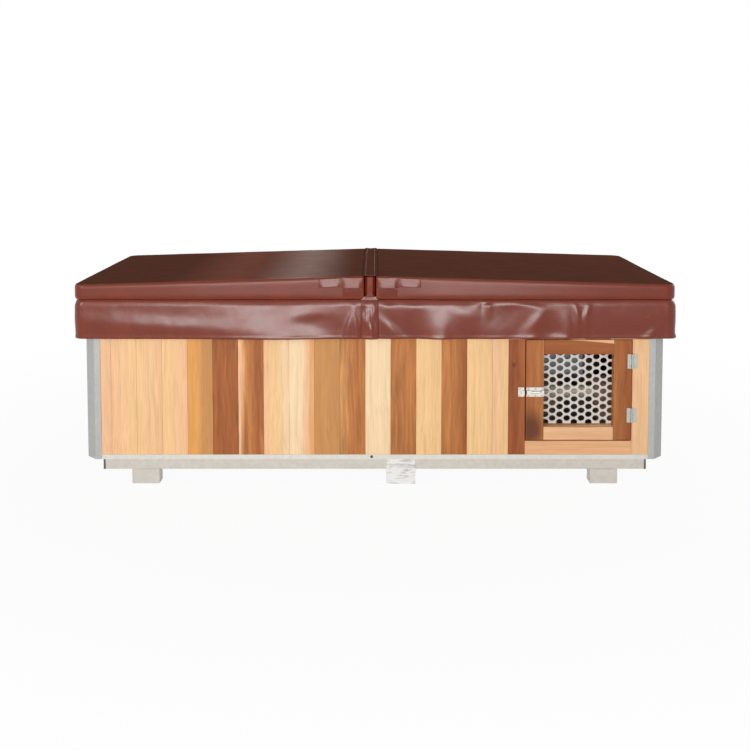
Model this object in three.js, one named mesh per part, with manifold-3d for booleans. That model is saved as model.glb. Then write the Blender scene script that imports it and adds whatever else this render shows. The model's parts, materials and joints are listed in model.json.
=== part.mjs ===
// Cold plunge tub: a cedar-clad chilled soaking tub with a folding vinyl cover.
// Millimetres, +Z up, -Y is the front. The origin is on the floor at the centre of the overall box.

import * as THREE from 'three';
import { mergeVertices } from 'three/addons/utils/BufferGeometryUtils.js';
import Module from 'manifold-3d';

const wasm = await Module();
wasm.setup();

// Fits
const SEAT = 0.3; // gap between pieces that rest on or are fastened to each other
const RUN = 0.45; // radial running clearance of pins, rods and shafts
const ROUND_SIDES = 20;
const SMALL_SIDES = 12;

// Cabinet
const BODY_LENGTH = 2232;
const BODY_DEPTH = 864;
const RIM_HEIGHT = 722;
const POST_SHEET = 2.5;
const POST_FLANGE = 24;
const POST_CHAMFER = 38;
const BOARD_THICK = 19;
const BOARD_PITCH = 97.8;
const BOARD_END_GAP = 2;
const LAST_BOARD = 61.6; // ripped board beside the door jamb
const GROOVE_WIDTH = 4;
const GROOVE_DEPTH = 3;

// Base
const SKID_HEIGHT = 57;
const SKID_WIDTH = 106;
const SKID_SHEET = 4;
const FOOT_DEPTH = 57; // of a skid's foot, front to back
const SKID_END_INSET = 230; // middle of an end skid from the body's end
const CENTRE_SKID_X = 101;
const CENTRE_SKID_WIDTH = 112;
const RAIL_HEIGHT = 40;
const RAIL_WIDTH = 40;
const RAIL_SHEET = 3;
const RAIL_END_INSET = 70;
const RAIL_FRONT_INSET = 6;
const PAN_SHEET = 2.5;
const PAN_LIP = 18;

// Tub
const DECK_SHEET = 4;
const RIM_RAIL_WIDTH = 38;
const RIM_RAIL_HEIGHT = 60;
const INSULATION = 45;
const BASIN_WALL = 4;
const BASIN_DEPTH = 552; // inside
const BASIN_CORNER = 40;
const PARTITION_THICK = 12;
const BAY_LENGTH = 579.2; // equipment bay, from the partition to the end boards

// Door opening and door
const JAMB_RIGHT = 85.4;
const JAMB_LEFT = 64;
const DOOR_OPENING_WIDTH = 412;
const DOOR_OPENING_HEIGHT = 397;
const SILL_HEIGHT = 68;
const DOOR_THICK = 38;
const DOOR_LATCH_GAP = 3;
const DOOR_HINGE_GAP = 2;
const DOOR_TOP_GAP = 3;
const DOOR_BOTTOM_GAP = 4;
const STILE_WIDTH = 69;
const TOP_RAIL = 56;
const BOTTOM_RAIL = 55;
const BOTTOM_RAIL_BEVEL = 5; // fall of its top towards the front
const GRILLE_SHEET = 6;
const GRILLE_LAP = 22;
const HOLE_DIAMETER = 26;
const HOLE_PITCH_X = 28.4;
const HOLE_PITCH_Z = 30.3;
const HOLE_SHIFT_X = -4.2; // hole pattern from the plate's middle
const HOLE_SHIFT_Z = 1.6;
const HOLE_SIDES = 6;
const HOLE_MARGIN = 2; // metal left between a hole and the plate's edge

// Hinges and barrel bolt
const HINGE_HEIGHT = 56;
const HINGE_LEAF = 19;
const HINGE_SHEET = 2;
const KNUCKLE_RADIUS = 4;
const PIN_RADIUS = 2;
const HINGE_TOP_DROP = 83; // door top to the middle of the upper hinge
const HINGE_BOTTOM_RISE = 97; // door bottom to the middle of the lower hinge
const BOLT_RISE = 188; // door bottom to the bolt's axis
const BOLT_PLATE_LENGTH = 66;
const BOLT_PLATE_HEIGHT = 36;
const BOLT_PLATE_SHEET = 2;
const BOLT_PLATE_INSET = 2; // from the door's latch edge
const BOLT_RADIUS = 5;
const BOLT_GUIDE_WALL = 3;
const FRONT_GUIDE = 18;
const REAR_GUIDE = 10;
const KNOB_RADIUS = 4;
const KNOB_REACH = 16;
const KEEPER_LENGTH = 23;
const KEEPER_INSET = 4; // from the jamb's edge
const KEEPER_LOOP = 12;

// Cover
const COVER_OVERHANG = 26;
const COVER_EDGE = 59; // foam thickness at the ends
const COVER_PEAK = 92; // foam thickness at the fold
const COVER_CORNER = 35;
const CORNER_STEPS = 4;
const FOLD_X = -18;
const FOLD_GAP = 44;
const FOLD_WEB = 18;
const FOLD_STRIP_LAP = 18;
const FOLD_STRIP_SHEET = 2;
const SKIRT_DROP = 148;
const SKIRT_SHEET = 3;
const SKIRT_SPLIT = 3;
const HANDLE_LENGTH = 82;
const HANDLE_HEIGHT = 40;
const HANDLE_SHEET = 3;
const HANDLE_GAP = 8;
const HANDLE_TAB = 14;
const HANDLE_RAMP = 6;
const HANDLE_DROP = 6; // below the peak of the cover
const HANDLE_FOLD_INSET = 5; // from the panel's fold edge

// Water circuit
const PIPE_RADIUS = 25;
const PIPE_WALL = 4;
const SUCTION_RISE = 209; // above the floor pan
const SUCTION_CORNER_GAP = 25; // flange to the basin's rounded corner
const DRAIN_FLOOR_GAP = 5; // flange to the basin's floor
const SUCTION_RUN = 350;
const FITTING_FLANGE = 42;
const FITTING_FLANGE_SHEET = 6;
const STRAINER_SHEET = 3; // plate across the fitting's mouth
const FITTING_STUB = 15;
const VOLUTE_RADIUS = 70;
const VOLUTE_LENGTH = 70;
const MOTOR_RADIUS = 58;
const MOTOR_LENGTH = 125;
const PUMP_FOOT = 80;
const PORT_RADIUS = 32;
const PORT_LENGTH = 22;
const FILTER_Y = 150;
const FILTER_RADIUS = 75;
const FILTER_HEIGHT = 420;
const FILTER_LID_RADIUS = 84;
const FILTER_LID_HEIGHT = 26;
const LID_GRIP_LENGTH = 110;
const LID_GRIP_WIDTH = 18;
const LID_GRIP_HEIGHT = 22;
const EXCHANGER_RADIUS = 50;
const EXCHANGER_RISE = 300;
const EXCHANGER_STUB = 22;

// Drain valve
const DRAIN_RADIUS = 20;
const DRAIN_FLANGE = 35;
const VALVE_RADIUS = 28;
const VALVE_LENGTH = 50;
const VALVE_OFFSET = 45; // partition to the valve body
const VALVE_TAIL = 30;
const STEM_RADIUS = 6;
const STEM_HEIGHT = 12;
const LEVER_LENGTH = 80;
const LEVER_WIDTH = 16;
const LEVER_SHEET = 5;
const LEVER_HUB = 13;

// Chiller and controls
const COIL_WIDTH = 300;
const COIL_HEIGHT = 330;
const COIL_DEPTH = 50;
const COIL_REAR_GAP = 30;
const COIL_SIDE_GAP = 45;
const FAN_RADIUS = 122;
const FAN_HUB_RADIUS = 24;
const FAN_BLADE_COUNT = 5;
const FAN_BLADE_SHEET = 4;
const FAN_BLADE_WIDTH = 40;
const FAN_BLADE_PITCH = 25 * Math.PI / 180;
const FAN_HUB_LENGTH = 24;
const FAN_COIL_GAP = 20;
const FAN_MOTOR_RADIUS = 34;
const FAN_MOTOR_LENGTH = 70;
const FAN_MOTOR_GAP = 5;
const FAN_SHAFT_RADIUS = 5;
const FAN_PEDESTAL = 46;
const COMPRESSOR_RADIUS = 70;
const COMPRESSOR_HEIGHT = 230;
const COMPRESSOR_FOOT = 160;
const COMPRESSOR_FOOT_SHEET = 8;
const COMPRESSOR_WALL_GAP = 12;
const CONTROL_LENGTH = 300;
const CONTROL_DEPTH = 110;
const CONTROL_HEIGHT = 110;
const CONTROL_RISE = 310;
const CONTROL_DOOR_GAP = 42;
const DIAL_RADIUS = 20;
const DIAL_LENGTH = 14;
const SPINDLE_RADIUS = 4;
const SPINDLE_LENGTH = 10;
const DIAL_INSET = 60; // from the partition end of the box
const GLAND_RADIUS = 10;
const GLAND_FLANGE = 18;
const GLAND_REACH = 18;
const GLAND_BORE = 5;
const GLAND_INSET = 274.2; // from the end boards
const GLAND_RISE = 60;

// Levels
const railBottom = SKID_HEIGHT + SEAT;
const panBottom = railBottom + RAIL_HEIGHT + SEAT;
const floorLevel = panBottom + PAN_SHEET + SEAT;
const deckUnder = RIM_HEIGHT - DECK_SHEET;
const boardTop = deckUnder - SEAT;
const sillTop = floorLevel + SILL_HEIGHT;
const headLevel = sillTop + DOOR_OPENING_HEIGHT;
const doorBottom = sillTop + DOOR_BOTTOM_GAP;
const doorTop = headLevel - DOOR_TOP_GAP;
const coverBottom = RIM_HEIGHT + SEAT;
const coverPeak = coverBottom + COVER_PEAK;

// Plan positions
const halfLength = BODY_LENGTH / 2;
const halfDepth = BODY_DEPTH / 2;
const boardInset = POST_SHEET + SEAT;
const boardFaceX = halfLength - boardInset;
const boardFaceY = halfDepth - boardInset;
const boardBackX = boardFaceX - BOARD_THICK;
const boardBackY = boardFaceY - BOARD_THICK;
const boardEndX = halfLength - POST_CHAMFER - BOARD_END_GAP;
const boardEndY = halfDepth - POST_CHAMFER - BOARD_END_GAP;
const lipEndX = halfLength - POST_CHAMFER - POST_FLANGE - SEAT;
const lipEndY = halfDepth - POST_CHAMFER - POST_FLANGE - SEAT;
const railFaceY = halfDepth - RAIL_FRONT_INSET;
const rimRailOuterY = boardBackY - SEAT;
const insulationOuterY = rimRailOuterY - RIM_RAIL_WIDTH - SEAT;
const insulationLeftX = -boardBackX + SEAT;
const basinOuterY = insulationOuterY - INSULATION - SEAT;
const basinInnerY = basinOuterY - BASIN_WALL;
const basinLeftX = insulationLeftX + INSULATION + SEAT + BASIN_WALL;
const basinFloor = RIM_HEIGHT - BASIN_DEPTH;
const bayLeftX = boardBackX - BAY_LENGTH;
const partitionLeftX = bayLeftX - PARTITION_THICK;
const insulationRightX = partitionLeftX - SEAT;
const basinRightX = insulationRightX - INSULATION - SEAT - BASIN_WALL;
const openingRightX = boardEndX - JAMB_RIGHT;
const openingLeftX = openingRightX - DOOR_OPENING_WIDTH;
const jambLeftX = openingLeftX - JAMB_LEFT;
const doorLeftX = openingLeftX + DOOR_LATCH_GAP;
const doorRightX = openingRightX - DOOR_HINGE_GAP;
const doorBackY = -boardFaceY + DOOR_THICK;
const coverHalfX = halfLength + COVER_OVERHANG;
const coverHalfY = halfDepth + COVER_OVERHANG;
const handleProud = SEAT + HANDLE_GAP + HANDLE_SHEET;
const suctionY = -(basinInnerY - BASIN_CORNER - FITTING_FLANGE - SUCTION_CORNER_GAP);
const suctionZ = floorLevel + SUCTION_RISE;
const exchangerZ = floorLevel + EXCHANGER_RISE;
const drainZ = basinFloor + DRAIN_FLANGE + DRAIN_FLOOR_GAP;
const pumpX = bayLeftX + FITTING_STUB + SUCTION_RUN;
const voluteX = pumpX + VOLUTE_LENGTH / 2;
const glandX = boardBackX - GLAND_INSET;
const hingePinX = openingRightX - DOOR_HINGE_GAP / 2;
const hingePinY = -boardFaceY - SEAT - KNUCKLE_RADIUS;

// Finishes: colour, roughness, metalness
const FINISHES = {
  stainless: [0xc6c5c0, 0.35, 0.9],
  galvanised: [0xb9bcba, 0.45, 0.85],
  cedarLight: [0xf2c595, 0.6, 0],
  cedarMid: [0xc98f58, 0.6, 0],
  cedarDark: [0xa0603a, 0.6, 0],
  vinyl: [0x7e3f2f, 0.45, 0],
  acrylic: [0xeef0ee, 0.25, 0],
  foam: [0xe9e2c6, 0.9, 0],
  plywood: [0xb58a5c, 0.75, 0],
  timber: [0xb98a5a, 0.75, 0],
  pvc: [0xe6e0d4, 0.4, 0],
  grille: [0xd8d2cc, 0.4, 0.6],
  hardware: [0xb0b2a8, 0.35, 0.9],
  blackPlastic: [0x26282b, 0.55, 0],
  greyPlastic: [0x9a9b9b, 0.5, 0],
  fins: [0xa8abad, 0.45, 0.8],
  blueShell: [0x4a6a86, 0.5, 0],
  enamel: [0x1d1e20, 0.4, 0.4],
};

function finish(name) {
  const [color, roughness, metalness] = FINISHES[name];
  return new THREE.MeshStandardMaterial({ color, roughness, metalness });
}

// Solid modelling helpers

function toSolid(geometry) {
  const bare = geometry.clone();
  bare.deleteAttribute('normal');
  bare.deleteAttribute('uv');
  const merged = mergeVertices(bare, 1e-4);
  const vertProperties = new Float32Array(merged.attributes.position.array);
  const triVerts = new Uint32Array(merged.index.array);
  return new wasm.Manifold(new wasm.Mesh({ numProp: 3, vertProperties, triVerts }));
}

function toGeometry(solid) {
  const { vertProperties, triVerts } = solid.getMesh();
  const geometry = new THREE.BufferGeometry();
  geometry.setAttribute('position', new THREE.BufferAttribute(vertProperties, 3));
  geometry.setIndex(new THREE.BufferAttribute(triVerts, 1));
  geometry.computeVertexNormals();
  return geometry;
}

function join(...geometries) {
  return toGeometry(geometries.map(toSolid).reduce((whole, piece) => whole.add(piece)));
}

function cut(base, ...tools) {
  return toGeometry(tools.map(toSolid).reduce((whole, tool) => whole.subtract(tool), toSolid(base)));
}

function common(first, second) {
  return toGeometry(toSolid(first).intersect(toSolid(second)));
}

// Block between two opposite corners, given as [low, high] along each axis
function block(x, y, z) {
  const middle = [x, y, z].map(([low, high]) => (low + high) / 2);
  return new THREE.BoxGeometry(x[1] - x[0], y[1] - y[0], z[1] - z[0]).translate(...middle);
}

// Round bar along an axis, from one coordinate to another, about a centre given by the other two coordinates
function bar(axis, radius, [start, end], [first, second], sides = ROUND_SIDES) {
  const geometry = new THREE.CylinderGeometry(radius, radius, end - start, sides);
  const middle = (start + end) / 2;
  if (axis === 'x') return geometry.rotateZ(-Math.PI / 2).translate(middle, first, second);
  if (axis === 'y') return geometry.translate(first, middle, second);
  return geometry.rotateX(Math.PI / 2).translate(first, second, middle);
}

// Plan outline raised from one level to another
function prism(points, [low, high]) {
  const shape = new THREE.Shape(points.map(([x, y]) => new THREE.Vector2(x, y)));
  return new THREE.ExtrudeGeometry(shape, { depth: high - low, bevelEnabled: false }).translate(0, 0, low);
}

// Side outline, in X and Z, drawn out along Y
function sideProfile(points, [near, far]) {
  return prism(points, [0, far - near]).rotateX(Math.PI / 2).translate(0, far, 0);
}

// End outline, in Y and Z, drawn out along X
function lengthProfile(points, [start, end]) {
  return prism(points, [start, end]).rotateX(Math.PI / 2).rotateZ(Math.PI / 2);
}

// Corner points of a quarter circle about a centre, from one angle to another
function arc([x, y], radius, from, to) {
  return Array.from({ length: CORNER_STEPS + 1 }, (_, step) => {
    const angle = from + (to - from) * step / CORNER_STEPS;
    return [x + radius * Math.cos(angle), y + radius * Math.sin(angle)];
  });
}

function roundedRectangle([x0, x1], [y0, y1], radius) {
  const quarter = Math.PI / 2;
  return [
    ...arc([x1 - radius, y1 - radius], radius, 0, quarter),
    ...arc([x0 + radius, y1 - radius], radius, quarter, 2 * quarter),
    ...arc([x0 + radius, y0 + radius], radius, 2 * quarter, 3 * quarter),
    ...arc([x1 - radius, y0 + radius], radius, 3 * quarter, 4 * quarter),
  ];
}

// Outline of the cabinet with its chamfered corners, brought in from the outside faces
function bodyOutline(inset) {
  const x = halfLength - inset;
  const y = halfDepth - inset;
  const leg = POST_CHAMFER - inset * (2 - Math.SQRT2);
  return [
    [x - leg, -y], [x, -y + leg], [x, y - leg], [x - leg, y],
    [-x + leg, y], [-x, y - leg], [-x, -y + leg], [-x + leg, -y],
  ];
}

function place(group, name, look, geometry) {
  const mesh = new THREE.Mesh(geometry, finish(look));
  mesh.name = name;
  group.add(mesh);
  return mesh;
}

// Rectangular piece placed by its middle
function placeBlock(group, name, look, x, y, z) {
  const size = [x, y, z].map(([low, high]) => high - low);
  const mesh = place(group, name, look, new THREE.BoxGeometry(...size));
  mesh.position.set((x[0] + x[1]) / 2, (y[0] + y[1]) / 2, (z[0] + z[1]) / 2);
  return mesh;
}

// Base: two channel rails on three skids, and the floor pan

function addRail(group, name, turn) {
  const half = halfLength - RAIL_END_INSET;
  const outline = [
    [-railFaceY, railBottom], [-railFaceY + RAIL_WIDTH, railBottom],
    [-railFaceY + RAIL_WIDTH, railBottom + RAIL_SHEET], [-railFaceY + RAIL_SHEET, railBottom + RAIL_SHEET],
    [-railFaceY + RAIL_SHEET, railBottom + RAIL_HEIGHT - RAIL_SHEET],
    [-railFaceY + RAIL_WIDTH, railBottom + RAIL_HEIGHT - RAIL_SHEET],
    [-railFaceY + RAIL_WIDTH, railBottom + RAIL_HEIGHT], [-railFaceY, railBottom + RAIL_HEIGHT],
  ];
  place(group, name, 'stainless', lengthProfile(outline, [-half, half])).rotation.z = turn;
}

// Skid: a strap under both rails on two hollow feet, which are open towards each other
function skid(width, [front, rear]) {
  const half = width / 2;
  const strapBottom = SKID_HEIGHT - SKID_SHEET;
  const outer = block([-half, half], [front, rear], [0, SKID_HEIGHT]);
  const inside = block(
    [-half + SKID_SHEET, half - SKID_SHEET],
    [front + SKID_SHEET, rear - SKID_SHEET],
    [SKID_SHEET, strapBottom],
  );
  const between = block([-width, width], [front + FOOT_DEPTH, rear - FOOT_DEPTH], [-SKID_SHEET, strapBottom]);
  return cut(outer, inside, between);
}

function addSkids(group) {
  for (const [name, side] of [['skid_left', -1], ['skid_right', 1]]) {
    const strap = skid(SKID_WIDTH, [-railFaceY, railFaceY]);
    place(group, name, 'stainless', strap).position.x = side * (halfLength - SKID_END_INSET);
  }
  const front = -railFaceY - SEAT - SKID_SHEET;
  const apron = block(
    [-CENTRE_SKID_WIDTH / 2, CENTRE_SKID_WIDTH / 2],
    [front, front + SKID_SHEET],
    [0, railBottom + RAIL_HEIGHT],
  );
  const centre = join(skid(CENTRE_SKID_WIDTH, [front, railFaceY]), apron);
  place(group, 'skid_centre', 'stainless', centre).position.x = CENTRE_SKID_X;
}

function addFloorPan(group) {
  const sheet = [panBottom, panBottom + PAN_SHEET];
  const lip = [panBottom, panBottom + PAN_LIP];
  const pieces = [prism(bodyOutline(boardInset), sheet)];
  for (const side of [-1, 1]) {
    const outerY = side * halfDepth;
    const outerX = side * halfLength;
    const spanY = (depth) => [outerY, outerY - side * depth].sort((a, b) => a - b);
    const spanX = (depth) => [outerX, outerX - side * depth].sort((a, b) => a - b);
    pieces.push(block([-lipEndX, lipEndX], spanY(POST_SHEET), lip));
    pieces.push(block([-lipEndX, lipEndX], spanY(2 * POST_SHEET), sheet));
    pieces.push(block(spanX(POST_SHEET), [-lipEndY, lipEndY], lip));
    pieces.push(block(spanX(2 * POST_SHEET), [-lipEndY, lipEndY], sheet));
  }
  place(group, 'floor_pan', 'galvanised', join(...pieces));
}

// Cabinet: corner posts, rim rails and cladding

function addCornerPosts(group) {
  const innerLeg = POST_CHAMFER - POST_SHEET * (2 - Math.SQRT2);
  const reach = POST_CHAMFER + POST_FLANGE;
  const outline = [
    [reach, 0], [POST_CHAMFER, 0], [0, POST_CHAMFER], [0, reach],
    [POST_SHEET, reach], [POST_SHEET, POST_SHEET + innerLeg],
    [POST_SHEET + innerLeg, POST_SHEET], [reach, POST_SHEET],
  ];
  const corners = [
    ['front_left', -1, -1], ['front_right', 1, -1],
    ['rear_left', -1, 1], ['rear_right', 1, 1],
  ];
  for (const [name, sideX, sideY] of corners) {
    const points = outline.map(([x, y]) => [-sideX * x, -sideY * y]);
    const mesh = place(group, `corner_post_${name}`, 'galvanised', prism(points, [panBottom, boardTop]));
    mesh.position.set(sideX * halfLength, sideY * halfDepth, 0);
  }
}

function addRimRails(group) {
  const height = [boardTop - RIM_RAIL_HEIGHT, boardTop];
  const inner = rimRailOuterY - RIM_RAIL_WIDTH;
  placeBlock(group, 'rim_rail_front', 'timber', [-boardEndX, boardEndX], [-rimRailOuterY, -inner], height);
  placeBlock(group, 'rim_rail_rear', 'timber', [-boardEndX, boardEndX], [inner, rimRailOuterY], height);
}

// Plan of a run of tongue-and-groove boards, its outer face on y = 0 and its back at positive y
function boardOutline([start, end], joints) {
  const half = GROOVE_WIDTH / 2;
  const notches = joints.flatMap((x) => [[x - half, 0], [x, GROOVE_DEPTH], [x + half, 0]]);
  return [[start, 0], ...notches, [end, 0], [end, BOARD_THICK], [start, BOARD_THICK]];
}

// Board joints at an even pitch on both sides of the middle
function evenJoints(half) {
  const count = Math.floor((half - GROOVE_WIDTH) / BOARD_PITCH - 0.5) + 1;
  const right = Array.from({ length: count }, (_, index) => (index + 0.5) * BOARD_PITCH);
  return [...right.map((x) => -x).reverse(), ...right];
}

// Board joints counted from the ripped board at the door jamb towards the left end
function frontJoints() {
  const first = jambLeftX - SEAT - LAST_BOARD;
  const count = Math.floor((first + boardEndX - GROOVE_WIDTH) / BOARD_PITCH) + 1;
  return Array.from({ length: count }, (_, index) => first - index * BOARD_PITCH).reverse();
}

function addCladding(group) {
  const height = [floorLevel, boardTop];
  const front = prism(boardOutline([-boardEndX, jambLeftX - SEAT], frontJoints()), height);
  const overDoor = block([jambLeftX - BOARD_THICK, boardEndX], [0, BOARD_THICK], [headLevel, boardTop]);
  place(group, 'front_cladding', 'cedarLight', join(front, overDoor)).position.y = -boardFaceY;

  const rear = prism(boardOutline([-boardEndX, boardEndX], evenJoints(boardEndX)), height);
  const glandHole = bar('y', GLAND_RADIUS + RUN, [-BOARD_THICK, 2 * BOARD_THICK],
    [-glandX, floorLevel + GLAND_RISE], SMALL_SIDES);
  const rearMesh = place(group, 'rear_cladding', 'cedarMid', cut(rear, glandHole));
  rearMesh.position.y = boardFaceY;
  rearMesh.rotation.z = Math.PI;

  for (const [name, side] of [['left_cladding', -1], ['right_cladding', 1]]) {
    const geometry = prism(boardOutline([-boardEndY, boardEndY], evenJoints(boardEndY)), height);
    const mesh = place(group, name, 'cedarMid', geometry);
    mesh.position.x = side * boardFaceX;
    mesh.rotation.z = side * Math.PI / 2;
  }
}

function addDoorSurround(group) {
  const depth = [-boardFaceY, -boardBackY];
  const jambHeight = [floorLevel, headLevel - SEAT];
  placeBlock(group, 'door_jamb_left', 'cedarDark', [jambLeftX, openingLeftX], depth, jambHeight);
  placeBlock(group, 'door_jamb_right', 'cedarLight', [openingRightX, boardEndX], depth, jambHeight);
  placeBlock(group, 'door_sill', 'cedarLight',
    [openingLeftX + SEAT, openingRightX - SEAT], depth, [floorLevel, sillTop]);
}

// Tub: basin with its deck, insulation, partition and wall fittings

// Holes for the fittings that pass through the basin's end wall, the insulation and the partition
function wallHoles() {
  const span = [basinRightX - BASIN_WALL, bayLeftX + BASIN_WALL];
  return [
    bar('x', PIPE_RADIUS + PIPE_WALL + SEAT * 2, span, [suctionY, suctionZ]),
    bar('x', PIPE_RADIUS + PIPE_WALL + SEAT * 2, span, [FILTER_Y, exchangerZ]),
    bar('x', DRAIN_RADIUS + SEAT * 2, span, [0, drainZ]),
  ];
}

function addTub(group) {
  const outline = (extra) => roundedRectangle(
    [basinLeftX - extra, basinRightX + extra],
    [-basinInnerY - extra, basinInnerY + extra],
    BASIN_CORNER + extra,
  );
  const shell = join(
    prism(bodyOutline(0), [deckUnder, RIM_HEIGHT]),
    prism(outline(BASIN_WALL), [basinFloor - BASIN_WALL, RIM_HEIGHT - DECK_SHEET / 2]),
  );
  const cavity = prism(outline(0), [basinFloor, RIM_HEIGHT + DECK_SHEET]);
  place(group, 'tub_basin', 'acrylic', cut(shell, cavity, ...wallHoles()));

  const foam = block(
    [insulationLeftX, insulationRightX],
    [-insulationOuterY, insulationOuterY],
    [floorLevel, boardTop],
  );
  const nest = prism(outline(BASIN_WALL + SEAT), [basinFloor - BASIN_WALL - SEAT, RIM_HEIGHT]);
  place(group, 'insulation_jacket', 'foam', cut(foam, nest, ...wallHoles()));

  const panel = block(
    [partitionLeftX, bayLeftX],
    [-insulationOuterY, insulationOuterY],
    [floorLevel, boardTop],
  );
  place(group, 'partition_panel', 'plywood', cut(panel, ...wallHoles()));
}

// Bulkhead fitting: flange with its strainer plate inside the basin, sleeve through the wall, stub in the bay
function addFitting(group, name, y, z) {
  const flangeEnd = basinRightX - SEAT;
  const flangeStart = flangeEnd - FITTING_FLANGE_SHEET;
  const stubEnd = bayLeftX + FITTING_STUB;
  const fitting = join(
    bar('x', FITTING_FLANGE, [flangeStart, flangeEnd], [y, z]),
    bar('x', PIPE_RADIUS + PIPE_WALL, [flangeEnd - FITTING_FLANGE_SHEET / 2, stubEnd], [y, z]),
  );
  const boreSpan = [flangeStart + STRAINER_SHEET, stubEnd + FITTING_STUB];
  const bore = bar('x', PIPE_RADIUS - PIPE_WALL, boreSpan, [y, z]);
  place(group, name, 'pvc', cut(fitting, bore));
}

// Water circuit

function annulus(outer, inner) {
  const ring = (radius) => Array.from({ length: SMALL_SIDES }, (_, index) => {
    const angle = index / SMALL_SIDES * 2 * Math.PI;
    return new THREE.Vector2(radius * Math.cos(angle), radius * Math.sin(angle));
  });
  const shape = new THREE.Shape(ring(outer));
  shape.holes.push(new THREE.Path(ring(inner)));
  return shape;
}

// Straight length of pipe between two points
function pipe(start, end) {
  const section = annulus(PIPE_RADIUS, PIPE_RADIUS - PIPE_WALL);
  const extrudePath = new THREE.LineCurve3(new THREE.Vector3(...start), new THREE.Vector3(...end));
  return new THREE.ExtrudeGeometry(section, { extrudePath, steps: 1 });
}

function addPipes(group) {
  const fittingEnd = bayLeftX + FITTING_STUB + SEAT;
  const suction = pipe([fittingEnd, suctionY, suctionZ], [pumpX - SEAT, suctionY, suctionZ]);
  place(group, 'suction_pipe', 'pvc', suction);

  const outletY = suctionY + VOLUTE_RADIUS + PORT_LENGTH + SEAT;
  const inletY = FILTER_Y - FILTER_RADIUS - PORT_LENGTH - SEAT;
  place(group, 'filter_pipe', 'pvc', pipe([voluteX, outletY, suctionZ], [voluteX, inletY, suctionZ]));
}

function addPump(group) {
  const motorEnd = pumpX + VOLUTE_LENGTH + MOTOR_LENGTH;
  const volute = bar('x', VOLUTE_RADIUS, [pumpX, pumpX + VOLUTE_LENGTH], [suctionY, suctionZ]);
  const motor = bar('x', MOTOR_RADIUS, [pumpX + VOLUTE_LENGTH / 2, motorEnd], [suctionY, suctionZ]);
  const port = bar('y', PORT_RADIUS, [suctionY, suctionY + VOLUTE_RADIUS + PORT_LENGTH], [voluteX, suctionZ]);
  const stand = block(
    [pumpX + VOLUTE_LENGTH / 4, motorEnd - VOLUTE_LENGTH / 4],
    [suctionY - PUMP_FOOT / 2, suctionY + PUMP_FOOT / 2],
    [floorLevel, suctionZ],
  );
  place(group, 'circulation_pump', 'blackPlastic', join(volute, motor, port, stand));
}

function addFilter(group) {
  const portReach = FILTER_RADIUS + PORT_LENGTH;
  const canister = bar('z', FILTER_RADIUS, [floorLevel, floorLevel + FILTER_HEIGHT], [voluteX, FILTER_Y]);
  const inlet = bar('y', PORT_RADIUS, [FILTER_Y - portReach, FILTER_Y], [voluteX, suctionZ]);
  const outlet = bar('x', PORT_RADIUS, [voluteX - portReach, voluteX], [FILTER_Y, exchangerZ]);
  place(group, 'filter_housing', 'blueShell', join(canister, inlet, outlet));

  const grip = block(
    [-LID_GRIP_LENGTH / 2, LID_GRIP_LENGTH / 2],
    [-LID_GRIP_WIDTH / 2, LID_GRIP_WIDTH / 2],
    [FILTER_LID_HEIGHT / 2, FILTER_LID_HEIGHT + LID_GRIP_HEIGHT],
  );
  const lid = join(bar('z', FILTER_LID_RADIUS, [0, FILTER_LID_HEIGHT], [0, 0]), grip);
  place(group, 'filter_lid', 'blackPlastic', lid).position.set(
    voluteX, FILTER_Y, floorLevel + FILTER_HEIGHT + SEAT);
}

function addExchanger(group) {
  const start = bayLeftX + FITTING_STUB + SEAT;
  const end = voluteX - FILTER_RADIUS - PORT_LENGTH - SEAT;
  const centre = [FILTER_Y, exchangerZ];
  const body = bar('x', EXCHANGER_RADIUS, [start + EXCHANGER_STUB, end - EXCHANGER_STUB], centre);
  place(group, 'heat_exchanger', 'stainless', join(body, bar('x', PIPE_RADIUS, [start, end], centre)));
}

function addDrain(group) {
  const centre = [0, drainZ];
  const valveX = bayLeftX + VALVE_OFFSET;
  const valveEnd = valveX + VALVE_LENGTH;
  const stemX = valveX + VALVE_LENGTH / 2;
  const stemTop = drainZ + VALVE_RADIUS + STEM_HEIGHT;
  const flangeEnd = basinRightX - SEAT;
  const body = join(
    bar('x', DRAIN_FLANGE, [flangeEnd - FITTING_FLANGE_SHEET, flangeEnd], centre),
    bar('x', DRAIN_RADIUS, [flangeEnd - FITTING_FLANGE_SHEET / 2, valveEnd + VALVE_TAIL], centre),
    bar('x', VALVE_RADIUS, [valveX, valveEnd], centre),
    bar('z', STEM_RADIUS, [drainZ, stemTop], [stemX, 0], SMALL_SIDES),
  );
  place(group, 'drain_valve', 'hardware', body);

  const lift = [0, LEVER_SHEET];
  const arm = block([0, LEVER_LENGTH], [-LEVER_WIDTH / 2, LEVER_WIDTH / 2], lift);
  const hub = bar('z', LEVER_HUB, lift, [0, 0]);
  const eye = bar('z', STEM_RADIUS + RUN, [-LEVER_SHEET, 2 * LEVER_SHEET], [0, 0], SMALL_SIDES);
  place(group, 'drain_lever', 'hardware', cut(join(arm, hub), eye)).position.set(
    stemX, 0, stemTop - LEVER_SHEET);
}

// Chiller

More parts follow.
